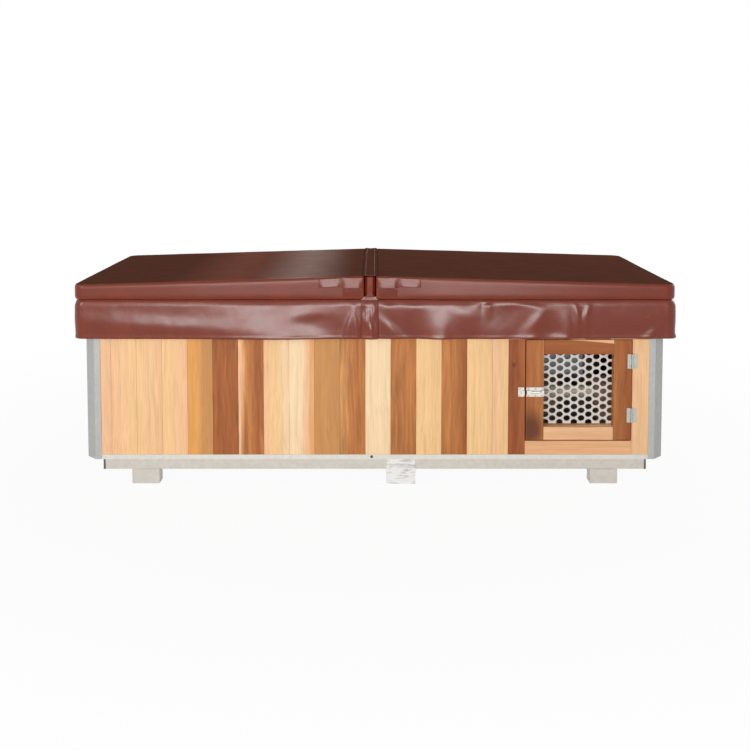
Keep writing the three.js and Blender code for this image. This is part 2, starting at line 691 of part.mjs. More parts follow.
function addChiller(group) {
  const coilFrontY = boardBackY - COIL_REAR_GAP - COIL_DEPTH;
  const coilLeftX = bayLeftX + COIL_SIDE_GAP;
  const fanX = coilLeftX + COIL_WIDTH / 2;
  const fanZ = floorLevel + COIL_HEIGHT / 2;
  placeBlock(
    group,
    'condenser_coil',
    'fins',
    [coilLeftX, coilLeftX + COIL_WIDTH],
    [coilFrontY, coilFrontY + COIL_DEPTH],
    [floorLevel, floorLevel + COIL_HEIGHT],
  );

  const hubEnd = coilFrontY - FAN_COIL_GAP;
  const hubStart = hubEnd - FAN_HUB_LENGTH;
  const motorEnd = hubStart - FAN_MOTOR_GAP;
  const motorStart = motorEnd - FAN_MOTOR_LENGTH;
  const motor = join(
    bar('y', FAN_MOTOR_RADIUS, [motorStart, motorEnd], [fanX, fanZ]),
    bar('y', FAN_SHAFT_RADIUS, [motorStart, hubEnd], [fanX, fanZ], SMALL_SIDES),
    block(
      [fanX - FAN_PEDESTAL / 2, fanX + FAN_PEDESTAL / 2],
      [motorStart + FAN_MOTOR_GAP, motorEnd - FAN_MOTOR_GAP],
      [floorLevel, fanZ],
    ),
  );
  place(group, 'fan_motor', 'blackPlastic', motor);

  const blades = Array.from({ length: FAN_BLADE_COUNT }, (_, index) => {
    const span = FAN_RADIUS - FAN_HUB_RADIUS / 2;
    return new THREE.BoxGeometry(span, FAN_BLADE_SHEET, FAN_BLADE_WIDTH)
      .rotateX(FAN_BLADE_PITCH)
      .translate(FAN_HUB_RADIUS / 2 + span / 2, 0, 0)
      .rotateY(index / FAN_BLADE_COUNT * 2 * Math.PI);
  });
  const hub = bar('y', FAN_HUB_RADIUS, [-FAN_HUB_LENGTH / 2, FAN_HUB_LENGTH / 2], [0, 0]);
  const bore = bar('y', FAN_SHAFT_RADIUS + RUN, [-FAN_HUB_LENGTH, FAN_HUB_LENGTH], [0, 0], SMALL_SIDES);
  place(group, 'fan_blade', 'blackPlastic', cut(join(hub, ...blades), bore)).position.set(
    fanX, (hubStart + hubEnd) / 2, fanZ);

  const inset = COMPRESSOR_WALL_GAP + COMPRESSOR_FOOT / 2;
  const foot = block(
    [-COMPRESSOR_FOOT / 2, COMPRESSOR_FOOT / 2],
    [-COMPRESSOR_FOOT / 2, COMPRESSOR_FOOT / 2],
    [0, COMPRESSOR_FOOT_SHEET],
  );
  const can = bar('z', COMPRESSOR_RADIUS, [COMPRESSOR_FOOT_SHEET / 2, COMPRESSOR_HEIGHT], [0, 0]);
  place(group, 'compressor', 'enamel', join(foot, can)).position.set(
    boardBackX - inset, boardBackY - inset, floorLevel);
}

function addControls(group) {
  const left = bayLeftX + SEAT;
  const frontY = doorBackY + CONTROL_DOOR_GAP;
  const dial = [left + DIAL_INSET, floorLevel + CONTROL_RISE + CONTROL_HEIGHT / 2];
  const box = block(
    [left, left + CONTROL_LENGTH],
    [frontY, frontY + CONTROL_DEPTH],
    [floorLevel + CONTROL_RISE, floorLevel + CONTROL_RISE + CONTROL_HEIGHT],
  );
  const spindleSpan = [frontY - SPINDLE_LENGTH, frontY + SPINDLE_LENGTH];
  const spindle = bar('y', SPINDLE_RADIUS, spindleSpan, dial, SMALL_SIDES);
  place(group, 'controller_box', 'greyPlastic', join(box, spindle));

  const knob = bar('y', DIAL_RADIUS, [-DIAL_LENGTH, 0], [0, 0]);
  const socket = bar('y', SPINDLE_RADIUS + RUN, [-SPINDLE_LENGTH - SEAT, DIAL_LENGTH], [0, 0], SMALL_SIDES);
  place(group, 'thermostat_knob', 'blackPlastic', cut(knob, socket)).position.set(
    dial[0], frontY - SEAT, dial[1]);
}

// Cord gland in the rear cladding, without its cord
function addGland(group) {
  const centre = [glandX, floorLevel + GLAND_RISE];
  const face = boardFaceY + SEAT;
  const body = join(
    bar('y', GLAND_FLANGE, [face, face + GLAND_REACH / 2], centre),
    bar('y', GLAND_RADIUS, [boardBackY, face + GLAND_REACH], centre, SMALL_SIDES),
  );
  const bore = bar('y', GLAND_BORE, [boardBackY - GLAND_REACH, face + 2 * GLAND_REACH], centre, SMALL_SIDES);
  place(group, 'power_gland', 'blackPlastic', cut(body, bore));
}

// Door

function grilleHoles(width, height) {
  const radius = HOLE_DIAMETER / 2;
  const reach = (length) => length / 2 - radius - HOLE_MARGIN;
  const columns = Math.ceil(width / 2 / HOLE_PITCH_X);
  const rows = Math.ceil(height / 2 / HOLE_PITCH_Z);
  const holes = [];
  for (let column = -columns; column <= columns; column += 1) {
    const stagger = column % 2 === 0 ? HOLE_PITCH_Z / 2 : 0;
    for (let row = -rows; row <= rows; row += 1) {
      holes.push([column * HOLE_PITCH_X + HOLE_SHIFT_X, row * HOLE_PITCH_Z + stagger + HOLE_SHIFT_Z]);
    }
  }
  return holes.filter(([x, z]) => Math.abs(x) <= reach(width) && Math.abs(z) <= reach(height));
}

function addGrille(group, x, z) {
  const width = x[1] - x[0];
  const height = z[1] - z[0];
  const plate = new THREE.Shape([
    new THREE.Vector2(-width / 2, -height / 2), new THREE.Vector2(width / 2, -height / 2),
    new THREE.Vector2(width / 2, height / 2), new THREE.Vector2(-width / 2, height / 2),
  ]);
  const radius = HOLE_DIAMETER / 2;
  for (const [u, v] of grilleHoles(width, height)) {
    const ring = Array.from({ length: HOLE_SIDES }, (_, index) => {
      const angle = (index + 0.5) / HOLE_SIDES * 2 * Math.PI;
      return new THREE.Vector2(u + radius * Math.cos(angle), v + radius * Math.sin(angle));
    });
    plate.holes.push(new THREE.Path(ring));
  }
  const geometry = new THREE.ExtrudeGeometry(plate, { depth: GRILLE_SHEET, bevelEnabled: false })
    .rotateX(Math.PI / 2).translate(0, GRILLE_SHEET, 0);
  place(group, 'door_grille', 'grille', geometry).position.set(
    (x[0] + x[1]) / 2, doorBackY + SEAT, (z[0] + z[1]) / 2);
}

function addDoor(group) {
  const depth = [-boardFaceY, doorBackY];
  const height = [doorBottom, doorTop];
  const innerLeft = doorLeftX + STILE_WIDTH;
  const innerRight = doorRightX - STILE_WIDTH;
  const span = [innerLeft + SEAT, innerRight - SEAT];
  placeBlock(group, 'door_stile_left', 'cedarDark', [doorLeftX, innerLeft], depth, height);
  placeBlock(group, 'door_stile_right', 'cedarDark', [innerRight, doorRightX], depth, height);
  placeBlock(group, 'door_top_rail', 'cedarDark', span, depth, [doorTop - TOP_RAIL, doorTop]);
  const ledge = doorBottom + BOTTOM_RAIL;
  const railEnd = [
    [depth[0], doorBottom], [depth[1], doorBottom], [depth[1], ledge], [depth[0], ledge - BOTTOM_RAIL_BEVEL],
  ];
  place(group, 'door_bottom_rail', 'cedarLight', lengthProfile(railEnd, span));
  addGrille(group,
    [innerLeft - GRILLE_LAP, innerRight + GRILLE_LAP],
    [ledge - GRILLE_LAP, doorTop - TOP_RAIL + GRILLE_LAP]);
}

// One butt hinge: its frame leaf carries the outer knuckles, its door leaf the middle one
function addHinge(group, name, z) {
  const third = HINGE_HEIGHT / 3;
  const half = HINGE_HEIGHT / 2;
  const plateY = [KNUCKLE_RADIUS - HINGE_SHEET, KNUCKLE_RADIUS];
  const clear = KNUCKLE_RADIUS + RUN;
  const knuckle = ([low, high]) => bar('z', KNUCKLE_RADIUS, [low, high], [0, 0], SMALL_SIDES);
  const bore = bar('z', PIN_RADIUS + RUN, [-HINGE_HEIGHT, HINGE_HEIGHT], [0, 0], SMALL_SIDES);
  const outer = [[-half, -third / 2 - RUN], [third / 2 + RUN, half]];
  const inner = [-third / 2, third / 2];

  const frameLeaf = cut(
    join(
      block([clear, HINGE_LEAF], plateY, [-half, half]),
      ...outer.map((span) => block([0, HINGE_LEAF], plateY, span)),
      ...outer.map(knuckle),
    ),
    bore,
  );
  const doorLeaf = cut(
    join(
      block([-HINGE_LEAF, -clear], plateY, [-half, half]),
      block([-HINGE_LEAF, 0], plateY, inner),
      knuckle(inner),
    ),
    bore,
  );
  const pin = bar('z', PIN_RADIUS, [-half, half], [0, 0], SMALL_SIDES);
  for (const [piece, geometry] of [['frame_leaf', frameLeaf], ['door_leaf', doorLeaf], ['pin', pin]]) {
    place(group, `hinge_${name}_${piece}`, 'hardware', geometry).position.set(hingePinX, hingePinY, z);
  }
}

// Barrel bolt on the door and its keeper on the jamb; the bolt rests drawn back
function addBolt(group) {
  const z = doorBottom + BOLT_RISE;
  const face = -boardFaceY - SEAT;
  const plateFace = face - BOLT_PLATE_SHEET;
  const bore = BOLT_RADIUS + RUN;
  const axisY = plateFace - SEAT - bore;
  const guideY = [axisY - bore - BOLT_GUIDE_WALL, plateFace + BOLT_PLATE_SHEET / 2];
  const guideZ = [z - bore - BOLT_GUIDE_WALL, z + bore + BOLT_GUIDE_WALL];
  const plateZ = [z - BOLT_PLATE_HEIGHT / 2, z + BOLT_PLATE_HEIGHT / 2];
  const start = doorLeftX + BOLT_PLATE_INSET;
  const end = start + BOLT_PLATE_LENGTH;
  const keeperEnd = openingLeftX - KEEPER_INSET;
  const channelSpan = [keeperEnd - 2 * KEEPER_LENGTH, end + KEEPER_LENGTH];
  const channel = bar('x', bore, channelSpan, [axisY, z], SMALL_SIDES);

  const base = join(
    block([start, end], [plateFace, face], plateZ),
    block([start, start + FRONT_GUIDE], guideY, guideZ),
    block([end - REAR_GUIDE, end], guideY, guideZ),
  );
  place(group, 'bolt_base', 'hardware', cut(base, channel));

  const knobX = end - REAR_GUIDE - KNOB_RADIUS - RUN;
  const rod = bar('x', BOLT_RADIUS, [start, end], [axisY, z], SMALL_SIDES);
  const knob = bar('y', KNOB_RADIUS, [axisY - KNOB_REACH, axisY], [knobX, z], SMALL_SIDES);
  place(group, 'bolt_rod', 'hardware', join(rod, knob));

  const keeper = join(
    block([keeperEnd - KEEPER_LENGTH, keeperEnd], [plateFace, face], plateZ),
    block([keeperEnd - KEEPER_LOOP, keeperEnd], guideY, guideZ),
  );
  place(group, 'bolt_keeper', 'hardware', cut(keeper, channel));
}

// Cover

// One tapered half, side -1 for the left and 1 for the right
function coverPanel(side) {
  const end = side * coverHalfX;
  const fold = FOLD_X + side * FOLD_GAP / 2;
  const taper = sideProfile([
    [end, coverBottom], [fold, coverBottom], [fold, coverPeak], [end, coverBottom + COVER_EDGE],
  ], [-coverHalfY, coverHalfY]);
  const outline = roundedRectangle([-coverHalfX, coverHalfX], [-coverHalfY, coverHalfY], COVER_CORNER);
  return common(taper, prism(outline, [coverBottom - COVER_EDGE, coverPeak + COVER_EDGE]));
}

function coverSkirt(side) {
  const fold = FOLD_X + side * SKIRT_SPLIT / 2;
  const path = (inset) => {
    const x = coverHalfX - inset;
    const y = coverHalfY - inset;
    const radius = COVER_CORNER - inset;
    const right = [
      ...arc([x - radius, -y + radius], radius, -Math.PI / 2, 0),
      ...arc([x - radius, y - radius], radius, 0, Math.PI / 2),
    ].map(([u, v]) => [side * u, v]);
    return [[fold, -y], ...right, [fold, y]];
  };
  const outline = [...path(0), ...path(SKIRT_SHEET).reverse()];
  return prism(outline, [coverBottom - SEAT - SKIRT_DROP, coverBottom - SEAT]);
}

// Vinyl web in the fold, hooked over the left half
function addFoldHinge(group) {
  const web = FOLD_WEB / 2;
  const hook = -FOLD_GAP / 2 - FOLD_STRIP_LAP;
  const stripBottom = coverPeak + SEAT;
  const stripTop = stripBottom + FOLD_STRIP_SHEET;
  const outline = [
    [-web, coverBottom + SEAT], [web, coverBottom + SEAT], [web, stripTop],
    [hook, stripTop], [hook, stripBottom], [-web, stripBottom],
  ];
  const strip = sideProfile(outline, [-coverHalfY, coverHalfY]);
  place(group, 'cover_fold_hinge', 'vinyl', strip).position.x = FOLD_X;
}

// Strap handle on the front edge: tabs on the panel, the middle bowed out for the fingers
function addHandle(group, name, side) {
  const bow = SEAT + HANDLE_GAP;
  const bowStart = HANDLE_TAB + HANDLE_RAMP;
  const inner = [
    [0, SEAT], [HANDLE_TAB, SEAT], [bowStart, bow],
    [HANDLE_LENGTH - bowStart, bow], [HANDLE_LENGTH - HANDLE_TAB, SEAT], [HANDLE_LENGTH, SEAT],
  ];
  const outer = inner.map(([u, v]) => [u, v + HANDLE_SHEET]).reverse();
  const outline = [...inner, ...outer].map(([u, v]) => [side * u, -v]);
  const top = coverPeak - HANDLE_DROP;
  const mesh = place(group, name, 'vinyl', prism(outline, [top - HANDLE_HEIGHT, top]));
  mesh.position.set(FOLD_X + side * (FOLD_GAP / 2 + HANDLE_FOLD_INSET), -coverHalfY, 0);
}

function addCover(group) {
  for (const [name, side] of [['left', -1], ['right', 1]]) {
    place(group, `cover_${name}_panel`, 'vinyl', coverPanel(side));
    place(group, `cover_${name}_skirt`, 'vinyl', coverSkirt(side));
    addHandle(group, `handle_${name}`, side);
  }
  addFoldHinge(group);
}

// Assembly

const tub = new THREE.Group();
tub.position.y = handleProud / 2;

const cabinet = new THREE.Group();
addRail(cabinet, 'base_rail_front', 0);
addRail(cabinet, 'base_rail_rear', Math.PI);
addSkids(cabinet);
addFloorPan(cabinet);
addCornerPosts(cabinet);
addRimRails(cabinet);
addCladding(cabinet);
addDoorSurround(cabinet);
addTub(cabinet);

const equipment = new THREE.Group();
addFitting(equipment, 'suction_fitting', suctionY, suctionZ);
addFitting(equipment, 'return_fitting', FILTER_Y, exchangerZ);
addPipes(equipment);
addPump(equipment);
addFilter(equipment);
addExchanger(equipment);
addDrain(equipment);
addChiller(equipment);
addControls(equipment);
addGland(equipment);

const door = new THREE.Group();
addDoor(door);
addHinge(door, 'upper', doorTop - HINGE_TOP_DROP);
addHinge(door, 'lower', doorBottom + HINGE_BOTTOM_RISE);
addBolt(door);

const cover = new THREE.Group();
addCover(cover);

tub.add(cabinet, equipment, door, cover);
tub.updateMatrixWorld(true);

export default tub;
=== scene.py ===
"""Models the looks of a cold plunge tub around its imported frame: boards, door, hardware, plant and cover."""

import json
import math

import bpy
from mathutils import Matrix, Vector, noise

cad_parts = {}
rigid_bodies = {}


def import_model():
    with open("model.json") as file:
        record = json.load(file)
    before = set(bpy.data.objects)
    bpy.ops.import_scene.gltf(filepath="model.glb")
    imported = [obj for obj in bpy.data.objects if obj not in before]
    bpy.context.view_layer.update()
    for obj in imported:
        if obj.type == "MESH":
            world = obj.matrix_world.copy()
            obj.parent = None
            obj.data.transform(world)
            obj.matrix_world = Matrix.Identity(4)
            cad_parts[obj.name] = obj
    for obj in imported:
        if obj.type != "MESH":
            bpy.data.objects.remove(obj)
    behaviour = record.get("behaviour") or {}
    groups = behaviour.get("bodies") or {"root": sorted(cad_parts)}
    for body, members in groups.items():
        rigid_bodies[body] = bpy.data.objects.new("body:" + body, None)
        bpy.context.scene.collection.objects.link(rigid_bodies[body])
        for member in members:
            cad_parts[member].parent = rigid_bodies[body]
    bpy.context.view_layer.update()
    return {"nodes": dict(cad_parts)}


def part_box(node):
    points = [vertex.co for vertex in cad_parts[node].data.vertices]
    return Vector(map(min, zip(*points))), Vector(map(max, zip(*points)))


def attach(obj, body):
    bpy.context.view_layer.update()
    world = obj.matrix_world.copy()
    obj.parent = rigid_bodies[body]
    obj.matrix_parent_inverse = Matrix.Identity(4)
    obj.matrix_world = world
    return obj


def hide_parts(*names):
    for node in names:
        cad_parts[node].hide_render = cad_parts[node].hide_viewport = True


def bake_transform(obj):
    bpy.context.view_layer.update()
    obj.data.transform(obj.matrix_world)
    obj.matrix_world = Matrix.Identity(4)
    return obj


bl_info = {
    "name": "Cold plunge tub",
    "version": (1, 0, 0),
    "blender": (4, 5, 0),
    "location": "3D View > Sidebar > Tub",
    "description": "Models a cedar-clad cold plunge tub with its equipment bay and folding cover",
    "category": "Object",
}

for leftover in list(bpy.data.objects):
    bpy.data.objects.remove(leftover)
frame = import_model()

MM = 0.001
SEAT = 0.3 * MM  # gap between pieces that rest on each other

# Camera: place in metres, tilt from straight down in degrees, lens in millimetres, and shift
CAMERA_PLACE = (0.00095, -4.2892, 1.3607)
CAMERA_TILT = 86.243
CAMERA_LENS = 48.93
CAMERA_SHIFT = -0.2355

# Area lights: place, width and height in metres, and power in watts
LIGHTS = {
    "key_light": ((-0.1, -5.4, 1.25), 3.7, 0.75, 138),
    "left_light": ((-3.4, -4.0, 1.7), 1.0, 0.9, 42),
    "right_light": ((4.2, 2.5, 2.4), 2.2, 2.2, 40),
    "rear_light": ((0.5, 4.6, 2.4), 2.6, 2.0, 90),
}
LIGHTS_AIM = (0, 0, 0.5)

# Tones of the front boards from the left, each from its left edge to its right edge
FRONT_TONES = (
    ("peach", "peach"),
    ("peach", "honey"),
    ("honey", "peach"),
    ("honey", "peach"),
    ("amber", "amber", "tan", "tan"),
    ("russet", "russet"),
    ("peach", "brown", "brown", "russet", "brown"),
    ("peach", "honey", "cream"),
    ("cream", "cream", "peach", "amber"),
    ("tan", "tan"),
    ("tan", "brown", "brown"),
    ("cream", "cream"),
    ("brown", "brown"),
    ("honey", "honey"),
    ("brown", "brown", "russet"),
    ("honey", "honey"),
    ("peach", "honey"),
)
BOARD_KNOTS = {12: ((15, 640, 4),)}  # by board number: place along and up, and radius, in millimetres
OTHER_TONES = (
    ("honey", "peach"),
    ("tan", "brown"),
    ("cream", "honey"),
    ("brown", "russet"),
    ("peach", "honey"),
    ("amber", "tan"),
    ("peach", "cream"),
)

# Folds in the front of the skirt, in millimetres: place along and up, half length, half width,
# lean outwards as they go down, and the turn of the fold's length from level, in degrees
LEFT_FOLDS = (
    (-820, 644, 360, 26, 0.16, -3.5),
    (-400, 650, 210, 90, 0.15, 0),
    (-280, 596, 150, 26, 0.12, 0),
    (-235, 655, 70, 15, -0.14, 4),
    (-104, 638, 62, 8, 0.15, 70),
    (-67, 638, 62, 8, 0.10, -78),
)
RIGHT_FOLDS = (
    (56, 704, 26, 12, 0.16, 0),
    (66, 622, 62, 14, 0.22, -41),
    (150, 704, 60, 12, 0.15, 0),
    (248, 622, 55, 100, 0.15, 0),
    (345, 690, 50, 24, 0.15, -12),
    (412, 712, 12, 6, -0.20, 0),
    (430, 706, 16, 8, 0.20, 0),
    (520, 695, 40, 14, -0.10, 0),
    (460, 620, 80, 40, 0.12, 0),
    (610, 702, 75, 9, 0.17, -9),
    (594, 640, 68, 20, 0.15, 48),
    (730, 640, 32, 60, 0.08, 0),
    (772, 682, 32, 7, 0.16, -69),
    (801, 682, 32, 7, 0.16, 66),
    (690, 588, 50, 13, 0.16, 0),
    (600, 590, 55, 13, 0.15, 8),
    (1046, 602, 36, 12, 0.16, 33),
)

# How far the skirts stand off at the tub's ends, in millimetres
END_FLARES = {"left": 2, "right": 9}

# How much more the padded fronts swell at the bottom than at the top beside the fold
PANEL_LEANS = {"left": 0.3, "right": 0.8}

# Painted sheen across the top of the cover, paler patches that stand in for its reflections: middle and half
# width in metres, tone and strength
TOP_SHEEN_PATCHES = ((-0.54, 0.27, "painted_red_sheen", 0.8), (-0.28, 0.21, "painted_grey_sheen", 0.8))

SLACK = 25 * MM  # depth below a skirt's seam over which the vinyl goes slack
HANGING_ROWS = 0.9  # share of a skirt's rows that hang; the rest turn in under the foam
HINGE_SCREWS = 0.32  # screws from the middle of a leaf, as a share of its height
BOLT_SCREWS = (("bolt_base", "door", (0.1, 0.52, 0.9)), ("bolt_keeper", "cabinet", (0.24,)))
BOLT_SCREW_INSET = 0.68  # from a plate's edge, as a share of the screw head
LIP_SCREW_X = -12 * MM


def linear(code):
    """The linear colour of an sRGB hex value."""
    parts = [int(code[start:start + 2], 16) / 255 for start in (1, 3, 5)]
    return tuple(part / 12.92 if part <= 0.04045 else ((part + 0.055) / 1.055) ** 2.4 for part in parts)


def colour(name, description, code):
    return bpy.props.FloatVectorProperty(
        name=name, description=description, default=linear(code), size=3, subtype="COLOR", min=0, max=1)


def length(name, description, millimetres):
    return bpy.props.FloatProperty(
        name=name, description=description, default=millimetres * MM, min=0, unit="LENGTH", precision=4)


class TubColours(bpy.types.PropertyGroup):
    """Colours of the tub's finishes"""
    peach: colour("Peach cedar", "Light pinkish sapwood boards", "#F2C196")
    honey: colour("Honey cedar", "Light golden boards", "#F5CA92")
    cream: colour("Cream cedar", "The palest boards", "#F8DAB0")
    amber: colour("Amber cedar", "Orange heartwood streaks", "#E6A45A")
    apricot: colour("Apricot cedar", "Sill and bottom rail of the door", "#E9B384")
    tan: colour("Tan cedar", "Mid brown boards", "#CB9158")
    brown: colour("Brown cedar", "Brown heartwood boards", "#BC7841")
    russet: colour("Russet cedar", "Red-brown heartwood boards", "#A56032")
    umber: colour("Dark cedar", "Dark wood of the door and its frame", "#975028")
    knot: colour("Knot", "Knots in the cedar", "#5A2C18")
    plywood: colour("Plywood", "Partition and rim rails", "#C69A66")
    galvanised: colour("Galvanised steel", "Corner posts", "#B2B2AF")
    rail: colour("Warm steel", "Base rails and outer skids", "#C9C3BA")
    bright: colour("Folded aluminium", "Lip of the floor pan", "#D6D4CC")
    white_coat: colour("White coat", "Centre skid", "#EDECEA")
    # Grey of the centre skid's scuffs, which also paints the shade in its creases
    coat_scuff_and_crease_shade: colour("Scuffed coat", "Scuffs and dents on the centre skid", "#ABA6A2")
    plated: colour("Plated steel", "Hinges, valve and screws", "#B3B4AC")
    zinc: colour("Bright zinc", "Barrel bolt and its keeper", "#DEDBD5")
    bronze: colour("Bronze coat", "Coated fins of the condenser", "#DDB291")
    stainless: colour("Stainless steel", "Heat exchanger", "#BDBFC0")
    grille: colour("Grille coat", "Perforated plate of the door", "#D6D1CA")
    vinyl: colour("Vinyl", "Sides and skirt of the cover", "#742A13")
    # The top's own copy of the vinyl, in a browner, greyer tone that paints the top's shade and dull sheen
    # (painted shade and sheen)
    top_vinyl_shade_and_sheen: colour("Top vinyl", "Top of the cover", "#6D4437")
    # Paler tones that paint the sheen on the top of the cover into its colour (painted reflections)
    painted_red_sheen: colour("Blushed vinyl", "Faded patch on the top of the cover", "#955C4F")
    painted_grey_sheen: colour("Bloomed vinyl", "Greyed patch on the top of the cover", "#B3968A")
    thread: colour("Thread", "Stitching of the cover", "#45271D")
    acrylic: colour("Acrylic", "Tub shell", "#E9EDED")
    foam: colour("Foam", "Insulation around the shell", "#DCC48C")
    pvc: colour("PVC", "Pipes and wall fittings", "#F6E6CE")
    black: colour("Black plastic", "Filter lid, knob and cord gland", "#2A2624")
    cap_grey: colour("Cap plastic", "Rail caps and the screw in the pan's lip", "#55514C")
    filter_grey: colour("Warm grey plastic", "Filter housing", "#766E6A")
    motor: colour("Brown enamel", "Pump, fan and its motor", "#A5806E")
    grey: colour("Grey plastic", "Controller box", "#6E757D")
    enamel: colour("Enamel", "Compressor", "#23262A")
    floor: colour("Floor", "Pale studio floor", "#E4E4E4")


class TubSizes(bpy.types.PropertyGroup):
    """Sizes of the tub's modelled pieces"""
    board_pitch: length("Board pitch", "From one board joint to the next", 97.8)
    last_board: length("Last board", "Ripped board beside the door", 61.6)
    board_gap: length("Board gap", "Gap in a board joint", 0.4)
    board_chamfer: length("Board chamfer", "Chamfer on a board's long edges", 1.2)
    tongue: length("Tongue", "Reach and thickness of a board's tongue", 6)
    gland_hole: length("Gland hole", "Hole for the cord gland", 21)
    cap: length("Cap plate", "Thickness of a rail's end cap", 3)
    cap_lip: length("Cap lip", "Lap of an end cap on the rail", 5)
    edge: length("Worn edge", "Rounding of sawn and folded edges", 0.9)
    hole: length("Grille hole", "Width of the grille's holes", 26)
    hole_height: length("Hole height", "Height of the grille's holes", 22.5)
    hole_pitch_x: length("Hole pitch across", "Between columns of holes", 28.1)
    hole_pitch_z: length("Hole pitch up", "Between holes in a column", 30.3)
    hole_shift_x: bpy.props.FloatProperty(
        name="Hole shift across", description="Hole pattern from the plate's middle",
        default=-9.8 * MM, unit="LENGTH", precision=4)
    hole_shift_z: length("Hole shift up", "Hole pattern from the plate's middle", 1.6)
    hole_margin: length("Hole margin", "Metal between a hole and the plate's edge", 2)
    screw: length("Screw head", "Diameter of a screw head", 7)
    lip_screw: length("Lip screw", "Diameter of the screw head in the pan's lip", 11.2)
    screw_proud: length("Screw proud", "How far a screw head stands out", 1.4)
    leaf: length("Leaf sheet", "Thickness of hinge leaves and bolt plates", 2)
    taper: length("Cover taper", "Fall of the cover from its fold to its ends", 33)
    corner: length("Cover corner", "Radius of the cover's corners", 35)
    cover_round: length("Cover edge", "Rounding of the foam's edges", 6)
    cover_bulge: length("Cover bulge", "How far the foam's edges swell", 5)
    voxel: length("Cover mesh", "Face size of the padded pieces", 6)
    skirt_sheet: length("Skirt sheet", "Thickness of the vinyl", 2)
    hem: length("Skirt hem", "Vinyl turned in at the skirt's edges", 10)
    flap: length("Centre flap", "Width of the flap over the skirt's split", 68)
    flap_rise: length("Flap rise", "How far the flap covers the bottom of the fold", 13)
    tuck: length("Skirt tuck", "How far the skirt's top edge turns in under the foam", 10)
    gusset: length("Fold gusset", "Width of the folded vinyl in the fold", 27)
    strip_lap: length("Fold strip lap", "Lap of the fold strip on each half", 5)
    stitch: length("Stitch pitch", "Between stitches", 9)
    handle_tab: length("Handle tab", "Sewn tab beside a handle", 84)
    handle_slit: length("Handle slit", "Slit under a handle", 6)
    lip: length("Handle lip", "Height of the padded lip under a handle", 28)
    lip_proud: length("Lip proud", "How far a lip's upper edge stands out", 8)
    handle_bow: length("Handle bow", "How far a handle's lower edge stands off", 6)


def sizes():
    return bpy.context.scene.tub_sizes


def tone(name):
    return (*getattr(bpy.context.scene.tub_colours, name), 1.0)


# Materials

def connect(tree, target, inputs):
    """Sets a node's inputs; an input is a value, or the node or socket that feeds it."""
    for key, value in inputs.items():
        if isinstance(value, bpy.types.Node):
            value = value.outputs[0]
        if isinstance(value, bpy.types.NodeSocket):
            tree.links.new(value, target.inputs[key])
        else:
            target.inputs[key].default_value = value


def add_node(tree, kind, inputs=None, stops=(), **settings):
    """Adds a node with its settings and links, and for a colour ramp its stops."""
    made = tree.nodes.new(kind)
    for key, value in settings.items():
        setattr(made, key, value)
    connect(tree, made, inputs or {})
    for index, (place, shade) in enumerate(stops):
        elements = made.color_ramp.elements
        element = elements[index] if index < len(elements) else elements.new(place)
        element.position = place
        element.color = shade
    return made


def new_material(name):
    material = bpy.data.materials.new(name)
    material.use_nodes = True
    tree = material.node_tree
    place = add_node(tree, "ShaderNodeTexCoord").outputs["Object"]
    return material, tree, tree.nodes["Principled BSDF"], place


# Western red cedar, planed and oiled: bands of sapwood and heartwood across the board, thin dark latewood
# lines along it, and a satin sheen broken by the pores. Pattern sizes are in millimetres.
CEDAR_PATTERNS = (("bands", 38, 800, 2), ("figure", 15, 240, 3), ("lines", 4, 520, 3), ("pores", 1.2, 30, 2))


